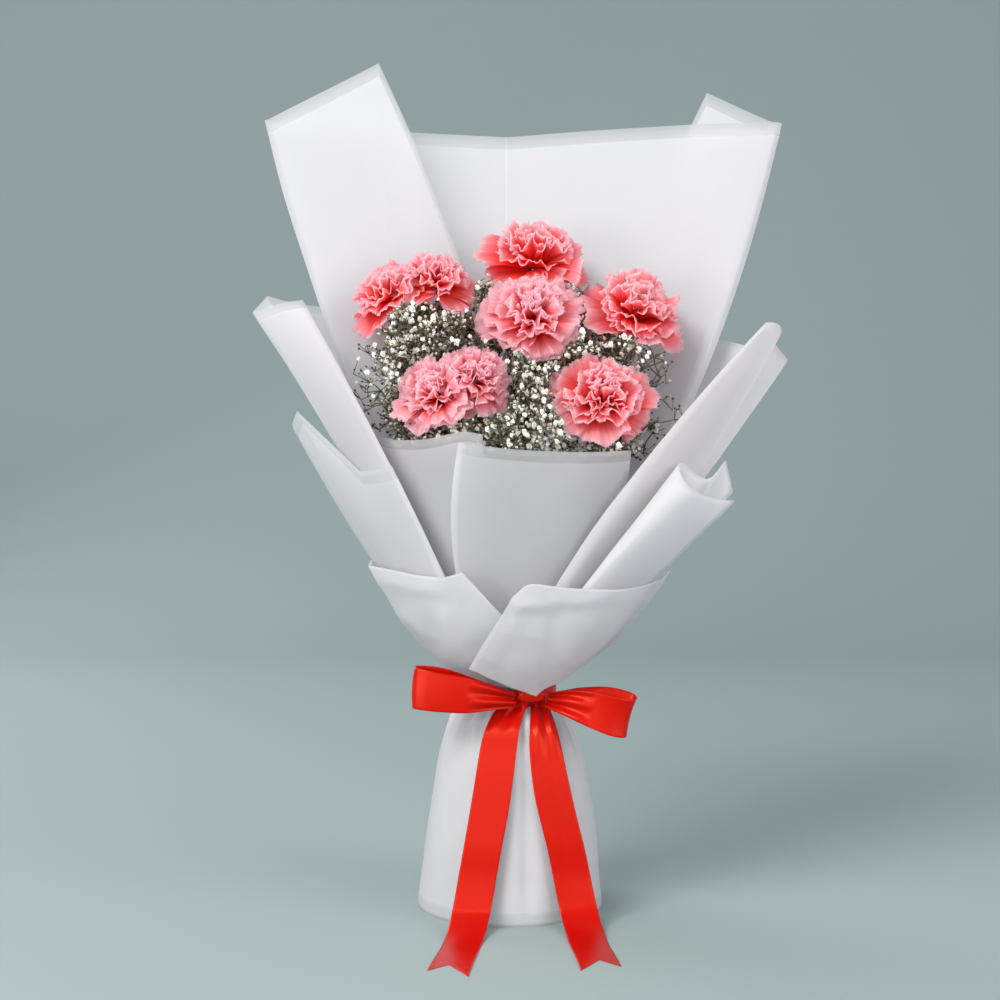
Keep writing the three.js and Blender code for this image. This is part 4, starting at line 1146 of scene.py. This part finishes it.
def petal_at(u, s, length, lean_from, lean_to, width, wave, phase):
    """A point of a petal at a share u of its width and s of its length.

    The bloom's axis is Z and the petal leaves along X. Its spine is an arc that leans more and more.
    """
    a, b = math.radians(lean_from), math.radians(lean_to)
    lean = lerp(a, b, s)
    rho = 2.0 + length * (math.cos(a) - math.cos(lean)) / (b - a)
    height = 3.5 + length * (math.sin(lean) - math.sin(a)) / (b - a)
    side = 2 * u - 1
    # a fan: narrow foot, wide edge with slightly round corners
    half = lerp(1.8, width / 2, s ** 0.72) * (1 - 0.08 * s ** 6 * side * side)
    # pinked teeth at the edge, no two alike, on wider scallops
    deep = 0.55 + 0.45 * math.sin(phase * 5 + u * 17)
    tooth = (1.0 if round(u * TEETH) % 2 else -0.7) * deep * max(0, (s - 0.84) / 0.16)
    scallop = 1.5 * math.sin(phase * 2 + side * 5.5) * s ** 3
    back = -0.17 * length * s * side * side + tooth + scallop
    # ripples from wide to fine, deeper towards the edge
    ripple = wave * s ** 1.4 * math.sin(phase + side * 4.6)
    ripple += 0.7 * wave * s ** 3 * math.sin(phase * 3 + side * 11)
    ripple += 0.55 * s ** 1.5 * math.sin(phase * 7 + side * 24 + 2 * math.sin(s * 5))
    return Vector((rho + back * math.sin(lean) + ripple * math.cos(lean),
                   half * side + 1.2 * s * math.sin(phase + s * 4),
                   height + back * math.cos(lean) - ripple * math.sin(lean) + 1.6 * s * side * side)) / 1000


def petal_template(ring, variant):
    _, length, lean_from, lean_to, width, wave = ring
    phase = variant * 1.37 + length * 0.37
    strength = wave * (0.8 + 0.13 * variant)

    def place(u, v):
        return petal_at(u, v, length, lean_from, lean_to, width, strength, phase)

    petal = bent_grid(f"petal_{length}_{variant}", TEETH, 8, place)
    thicken(petal, PETAL_THICKNESS)
    petal.data.attributes.new("tint", "FLOAT", "POINT")
    return petal


templates = {(r, v): petal_template(ring, v) for r, ring in enumerate(RINGS) for v in range(VARIANTS)}
print(len(templates), "petal variants of", len(templates[(0, 0)].data.polygons), "faces")

# %% Six blooms
# domes of each bloom: shift across, up and out in mm, lean in degrees, size; then how pale it is
DOMES = {
    "top": ([(0, 2, -1, 0, 1.06)], -0.04), "middle": ([(3.5, 4, -1, 0, 1.0)], 0.66),
    "right": ([(-1, 3, -1, 0, 1.07)], 0.12), "lower_right": ([(0, 3, -1, 0, 1.0)], 0.12),
    "lower_left": ([(-6, 2, -1, -14, 0.88), (15, 10, 5, 22, 0.76)], 0.66),
    "top_left": ([(-14, 6, 1, -16, 0.82), (14, 9, 3, 22, 0.80)], 0.14),
}


def petal_copy(template, matrix, tint):
    mesh = template.data.copy()
    mesh.transform(matrix)
    mesh.attributes["tint"].data.foreach_set("value", [tint] * len(mesh.vertices))
    copy = bpy.data.objects.new("petal", mesh)
    bpy.context.collection.objects.link(copy)
    return copy


def dome_petals(place, scale, pale, rng):
    """Petals of one dome, each a little turned and tipped its own way."""
    petals = []
    for r, ring in enumerate(RINGS):
        count, mean = ring[0], math.radians((ring[2] + ring[3]) / 2)
        start = rng.uniform(0, 360)
        own_axis = Vector((math.sin(mean), 0, math.cos(mean)))
        for k in range(count):
            azimuth = math.radians(start + 360 * (k + rng.uniform(-0.25, 0.25)) / count)
            tip = Matrix.Rotation(math.radians(rng.uniform(-14, 12)), 4, "Y")
            twist = Matrix.Rotation(math.radians(rng.uniform(-25, 25)), 4, own_axis)
            size = Matrix.Scale(scale * rng.uniform(0.84, 1.07), 4)
            matrix = place @ Matrix.Rotation(azimuth, 4, "Z") @ tip @ twist @ size
            template = templates[(r, rng.randrange(VARIANTS))]
            petals.append(petal_copy(template, matrix, pale + rng.uniform(0, 0.3)))
    return petals


FIRST_SEED = 40
blooms = []
for number, (name, head) in enumerate(heads.items()):
    rng = random.Random(FIRST_SEED + number)
    turn = Vector((0, 0, 1)).rotation_difference(head["facing"]).to_matrix().to_4x4()
    stand = Matrix.Translation(head["base"]) @ turn
    domes, pale = DOMES[name]
    petals = []
    for across, up, out, lean, size in domes:
        shift = Matrix.Translation(Vector((across, up, out)) / 1000)
        place = stand @ shift @ Matrix.Rotation(math.radians(lean), 4, "Y")
        petals += dome_petals(place, size, pale, rng)
    bloom = join(petals, f"bloom_{name}_petals")
    bpy.ops.object.shade_smooth()
    dress(bloom, petal_skin, "petals", f"bloom_{name}")
    blooms.append(bloom)
    print(bloom.name, len(bloom.data.polygons), "faces")

for template in templates.values():
    bpy.data.objects.remove(template, do_unlink=True)

# %% [markdown]
# ## Gypsophila
# Between the blooms stands a cloud of tiny white flowers on stalks as thin as thread. Modelled
# one by one it would take days, and a single fluffy solid would look like foam. So one floret,
# one bud and one small leaf are made, and a seeded rule grows the sprays: from each fork thin
# branches run to small nodes, and every node carries a handful of stalks. A ray test keeps
# twigs and florets out of the blooms.

# %% Finishes of the sprays
def plain_finish(name, dark, light, roughness):
    """Two tones mixed by a fine noise, so that neighbouring florets differ."""
    finish, add = new_material(name)
    place = add("TexCoord", {}, "Object")
    mottle = add("TexNoise", {"Vector": place, "Scale": 240, "Detail": 2}, "Fac")
    spread = add("MapRange", {"Value": mottle, "From Min": 0.36, "From Max": 0.64})
    tone = add("MixRGB", {0: spread, 1: (*dark, 1), 2: (*light, 1)})
    skin = add("BsdfPrincipled", {"Base Color": tone, "Roughness": roughness, "Specular IOR Level": 0.3})
    add("OutputMaterial", {"Surface": skin})
    return finish


twig_green = plain_finish("twig_green", (0.040, 0.040, 0.022), (0.14, 0.135, 0.085), 0.6)
LOOKS = {
    "twigs": twig_green,
    "florets": plain_finish("floret_white", (0.66, 0.64, 0.55), (0.93, 0.92, 0.88), 0.6),
    "buds": plain_finish("bud_pale", (0.26, 0.24, 0.16), (0.66, 0.63, 0.52), 0.7),
    # dry husks, and dark filler that paints the shade deep in the cloud
    "husks_and_shade": plain_finish("dark_husk_and_shade", (0.020, 0.020, 0.014), (0.11, 0.10, 0.065), 0.7),
    "leaves": twig_green,
}
print("finishes", [finish.name for finish in LOOKS.values()])

# %% One floret and one bud
def floret_template():
    """A small cup with a smaller one inside it, about two units wide."""
    verts, faces = [], []
    rows = [(0.25, -0.55, 0.0), (0.95, 0.05, 0.0), (0.55, 0.15, 0.5), (0.62, 0.72, 0.5), (0.12, 0.62, 0.0)]
    for radius, z, turn in rows:
        for n in range(6):
            angle = 2 * math.pi * (n + turn) / 6
            wide = radius * (1 + 0.22 * ((n * 7 + int(z * 10)) % 3 - 1))
            verts.append(Vector((wide * math.cos(angle), wide * math.sin(angle), z * (1 + 0.1 * (n % 2)))))
    skin_rings(faces, 0, len(rows), 6)
    return verts, faces


def bud_template():
    """A pointed drop with five sides."""
    verts, faces = [Vector((0, 0, -1.1))], []
    for radius, z in ((0.75, -0.45), (0.8, 0.35)):
        for n in range(5):
            angle = math.pi * n * 0.4
            verts.append(Vector((radius * math.cos(angle), radius * math.sin(angle), z)))
    verts.append(Vector((0, 0, 1.2)))
    for n in range(5):
        m = (n + 1) % 5
        faces.append((0, 1 + m, 1 + n))
        faces.append((1 + n, 1 + m, 6 + m, 6 + n))
        faces.append((6 + n, 6 + m, 11))
    return verts, faces


def stamp(verts, faces, template, place, facing, size):
    """Adds a copy of a template to the lists, turned to face a direction."""
    first = len(verts)
    turn = Vector((0, 0, 1)).rotation_difference(facing).to_matrix() * size
    for vertex in template[0]:
        verts.append(place + turn @ vertex)
    for face in template[1]:
        faces.append(tuple(first + i for i in face))


FLORET, BUD = floret_template(), bud_template()
print("floret", len(FLORET[1]), "faces, bud", len(BUD[1]), "faces")

# %% [markdown]
# The cloud isn't a ball. The wrap leaves it an oval, the pocket's edge is its floor, its roof
# follows the tops of the blooms, and its front slopes back so that the lower blooms stand free.
# These limits are written down once, and every node and floret is tested against them.

# %% Room for the cloud
# height of the roof, and of the front where the front-left film stands, at each x
ROOF = [(-110, 372), (-98, 390), (-84, 400), (-74, 412), (-24, 416), (-16, 434), (20, 430),
        (48, 421), (76, 416), (94, 388), (122, 368)]
RIM = [(-93, -90), (-92, -2), (-80, -34), (-56, -58), (-30, -69), (0, -84), (122, -84)]
RIM_TOP = 330
MIDDLE_X = 3
OVAL_MIDDLE, OVAL_REACH = (5, -16), (112, 66)
FRONT_Y, SLOPE, SLOPE_FROM = -79, 0.62, 342

bloom_trees = []
for bloom in blooms:
    mesh = bloom.data
    tree = BVHTree.FromPolygons([v.co for v in mesh.vertices], [p.vertices for p in mesh.polygons])
    bloom_trees.append(tree)


def clear_of_blooms(point, distance):
    return all(tree.find_nearest(point, distance)[0] is None for tree in bloom_trees)


def line_is_clear(a, b):
    run = b - a
    return all(tree.ray_cast(a, run.normalized(), run.length)[0] is None for tree in bloom_trees)


def before_bloom(point):
    """Whether a bloom stands close behind the point."""
    return not line_is_clear(point, point + Vector((0, 0.12, -0.004)))


def at(line, x):
    """Second value of a line of points, where its first value is x."""
    for (x0, z0), (x1, z1) in zip(line, line[1:]):
        if x <= x1:
            return lerp(z0, z1, max(0, (x - x0) / (x1 - x0)))
    return line[-1][1]


def in_cloud(point):
    """In the oval of the wrap, behind its rim and the slope, between edge and roof, not before a bloom."""
    p = (point - AXIS) * 1000
    oval = ((p.x - OVAL_MIDDLE[0]) / OVAL_REACH[0]) ** 2 + ((p.y - OVAL_MIDDLE[1]) / OVAL_REACH[1]) ** 2
    edge = 312 if p.y < -40 else 302
    front = FRONT_Y + SLOPE * max(0, p.z - SLOPE_FROM)
    if oval >= 1 or p.y < front or not edge < p.z < at(ROOF, p.x):
        return False
    if p.z < RIM_TOP and p.y < at(RIM, p.x):
        return False
    return not before_bloom(point)


print("roof over the middle", at(ROOF, MIDDLE_X), "mm")

# %% [markdown]
# Each spray has one stem that runs from the table through the binding to a fork. Three thinner
# stems leave the fork for the spray's hubs, round which its flowers gather.

# %% Stems of the sprays
SPRAYS = {
    "left": [(-80, -24, 344), (-76, -6, 368), (-88, -4, 352)],
    "centre": [(6, -62, 350), (22, -64, 332), (-8, -66, 332)],
    "upper_left": [(-32, -12, 396), (-24, -6, 420), (-30, -28, 384)],
    "right": [(100, -30, 360), (104, -14, 372), (92, -52, 330)],
    "upper_right": [(46, -22, 384), (50, 6, 420), (36, -36, 372)],
    "lower_left": [(-66, -50, 330), (-24, -66, 326), (-80, -34, 334)],
}
SPRAY_STEM = 0.0013
growth = {name: {part: ([], []) for part in LOOKS} for name in SPRAYS}
all_hubs = [(name, mm(*hub)) for name, hubs in SPRAYS.items() for hub in hubs]
forks = {}
for name, hubs in SPRAYS.items():
    middle = sum((Vector(h) for h in hubs), Vector()) / 3
    fork = mm(middle.x * 0.66, middle.y * 0.66, min(middle.z - 52, 300))
    levels = [0.002, 0.073, 0.146, lerp(0.146, fork.z, 0.42), lerp(0.146, fork.z, 0.8)]
    line = [cut_centre(f"gypsophila_{name}", z) for z in levels] + [fork]
    line[0].z = 0
    forks[name] = fork
    path = [Vector(through([tuple(p) for p in line], k / 24)) for k in range(25)]
    tube_into(*growth[name]["twigs"], path, [SPRAY_STEM] * 25, 6)
print(len(forks), "stems,", len(all_hubs), "hubs")

# %% [markdown]
# The nodes are scattered by chance and kept where there is room: apart from each other, clear of
# the petals and within reach of a hub. A first lot fills the whole cloud, thin at both sides. A
# second lot, of buds and dark husks only, fills the depth between the blooms as painted shade.
# The seed makes every run the same.

# %% Nodes of the cloud
NODE_CLEAR = 0.004
rng = random.Random(7)


def across_axis(point):
    return (point.x - AXIS.x) * 1000


def not_crowding_sides(point):
    far = abs(across_axis(point) - MIDDLE_X) > 80
    return not (far and (rng.random() < 0.72 or point.z < 0.322))


def under_roof(point):
    return point.z <= at(ROOF, across_axis(point)) / 1000 - 0.008


def scatter(count, tries, last_try, room, apart, reach, wanted):
    """Up to a count of points in a box of ranges, each with the name of its nearest hub's spray."""
    found = []
    while len(found) < count and tries < last_try:
        tries += 1
        point = mm(*[rng.uniform(low, high) for low, high in room])
        if not wanted(point) or not in_cloud(point) or not clear_of_blooms(point, NODE_CLEAR):
            continue
        if any((point - other).length < apart for _, other in found):
            continue
        owner, hub = min(all_hubs, key=lambda item: (item[1] - point).length)
        if (hub - point).length <= reach:
            found.append((owner, point))
    return found, tries


outer, tries = scatter(640, 0, 22000, [(-108, 118), (-82, 40), (302, 436)], 0.0066, 0.060, not_crowding_sides)
# the deep lot carries only buds and dark husks, as painted shade between the blooms
deep, tries = scatter(320, tries, 40000, [(-84, 92), (-34, 44), (304, 418)], 0.005, 0.075, under_roof)
light = {tuple(point) for _, point in outer}
print(len(outer), "outer and", len(deep), "deep nodes after", tries, "tries")

# %% [markdown]
# Twigs grow outwards from the hubs: the nearest node first, each from the best earlier node
# that it can reach without passing through a bloom.

# %% Twigs
HUB_TWIG, FINE_TWIG = [0.0009, 0.0008, 0.0007], [0.00048, 0.00042, 0.00036]
DETOUR, NEAREST = 0.45, 6  # how much a start far from the hub counts against it, and how many are tried


def bowed(a, b, rng, bend):
    """Points of a slightly bent line."""
    sway = Vector((rng.uniform(-1, 1), rng.uniform(-1, 1), rng.uniform(-0.4, 1))) * bend * (b - a).length
    return [a, a.lerp(b, 0.5) + sway, b]


def from_own_hub(item):
    return min((hub - item[1]).length for name, hub in all_hubs if name == item[0])


for owner, hub in all_hubs:
    tube_into(*growth[owner]["twigs"], bowed(forks[owner], hub, rng, 0.03), HUB_TWIG, 5)

umbels = sorted(outer + deep, key=from_own_hub)
grown = {name: [(mm(*hub), mm(*hub)) for hub in hubs] for name, hubs in SPRAYS.items()}
for owner, point in umbels:
    starts = [((tip - point).length + DETOUR * (tip - hub).length, k)
              for k, (tip, hub) in enumerate(grown[owner])]
    for _, k in sorted(starts)[:NEAREST]:
        start, hub = grown[owner][k]
        if line_is_clear(start, point) and not before_bloom(start.lerp(point, 0.5)):
            tube_into(*growth[owner]["twigs"], bowed(start, point, rng, 0.08), FINE_TWIG, 4)
            break
    grown[owner].append((point, hub))
print("twigs", {name: len(parts["twigs"][1]) for name, parts in growth.items()})

# %% [markdown]
# Every node carries a handful of stalks as fine as hair, and each stalk a floret, a bud or a dry
# husk. Outer nodes have most of the open florets. The deep nodes carry none, so their buds and
# dark husks paint the shade deep in the cloud. The two sides have fewer of all.

# %% Florets, buds and husks, the deep ones as painted shade
SPRAY_FOOT = (0, 10, 290)
STALK, STALK_CLEAR = [0.00028, 0.00022], 0.0022
counts = {"florets": 0, "buds": 0, "husks_and_shade": 0}
for owner, node in umbels:
    lean = (node - mm(*SPRAY_FOOT)).normalized()
    at_side = abs(across_axis(node) - MIDDLE_X) > 84
    floret_share, bud_share = (0.14, 0.36) if at_side else (0.28, 0.66)
    for _ in range(rng.randint(5, 8) if at_side else rng.randint(10, 14)):
        stray = Vector((rng.uniform(-1, 1), rng.uniform(-1.2, 0.8), rng.uniform(-0.6, 1)))
        way = (lean * 0.6 + stray).normalized()
        tip = node + way * rng.uniform(0.003, 0.0115)
        if not clear_of_blooms(tip, STALK_CLEAR) or not in_cloud(tip):
            continue
        tube_into(*growth[owner]["twigs"], [node, tip], STALK, 3)
        # deep nodes draw only buds and dark husks: painted shade deep in the cloud
        lot = rng.random() if tuple(node) in light else rng.uniform(0.4, 1)
        if lot < floret_share:
            part, size, template = "florets", rng.uniform(0.0014, 0.0027), FLORET
        elif lot < bud_share:
            part, size, template = "buds", rng.uniform(0.0009, 0.0014), BUD
        else:
            part, size, template = "husks_and_shade", rng.uniform(0.0007, 0.0012), BUD
        stamp(*growth[owner][part], template, tip, way, size)
        counts[part] += 1
    if not at_side and rng.random() < 0.2:
        side = Vector((rng.uniform(-1, 1), rng.uniform(-1, 1), 0)).normalized()
        below = node - Vector((0, 0, 0.006))
        leaf_into(*growth[owner]["leaves"], below, side, rng.uniform(0.008, 0.014), 0.0009, 0.3)
print(len(umbels), "nodes,", counts)

# %% Dress the sprays
for name, parts in growth.items():
    for part, (verts, faces) in parts.items():
        piece = mesh_piece(f"{part}_{name}", verts, faces)
        dress(piece, LOOKS[part], "gypsophila", *([f"gypsophila_{name}"] if part == "twigs" else []))
    print(name, {part: len(faces) for part, (verts, faces) in parts.items()})

# %% [markdown]
# ## Finish
# The dressed bunch must stay as large as its solids say. Here the scene is only brought up to date.

# %% Finish
bpy.context.view_layer.update()
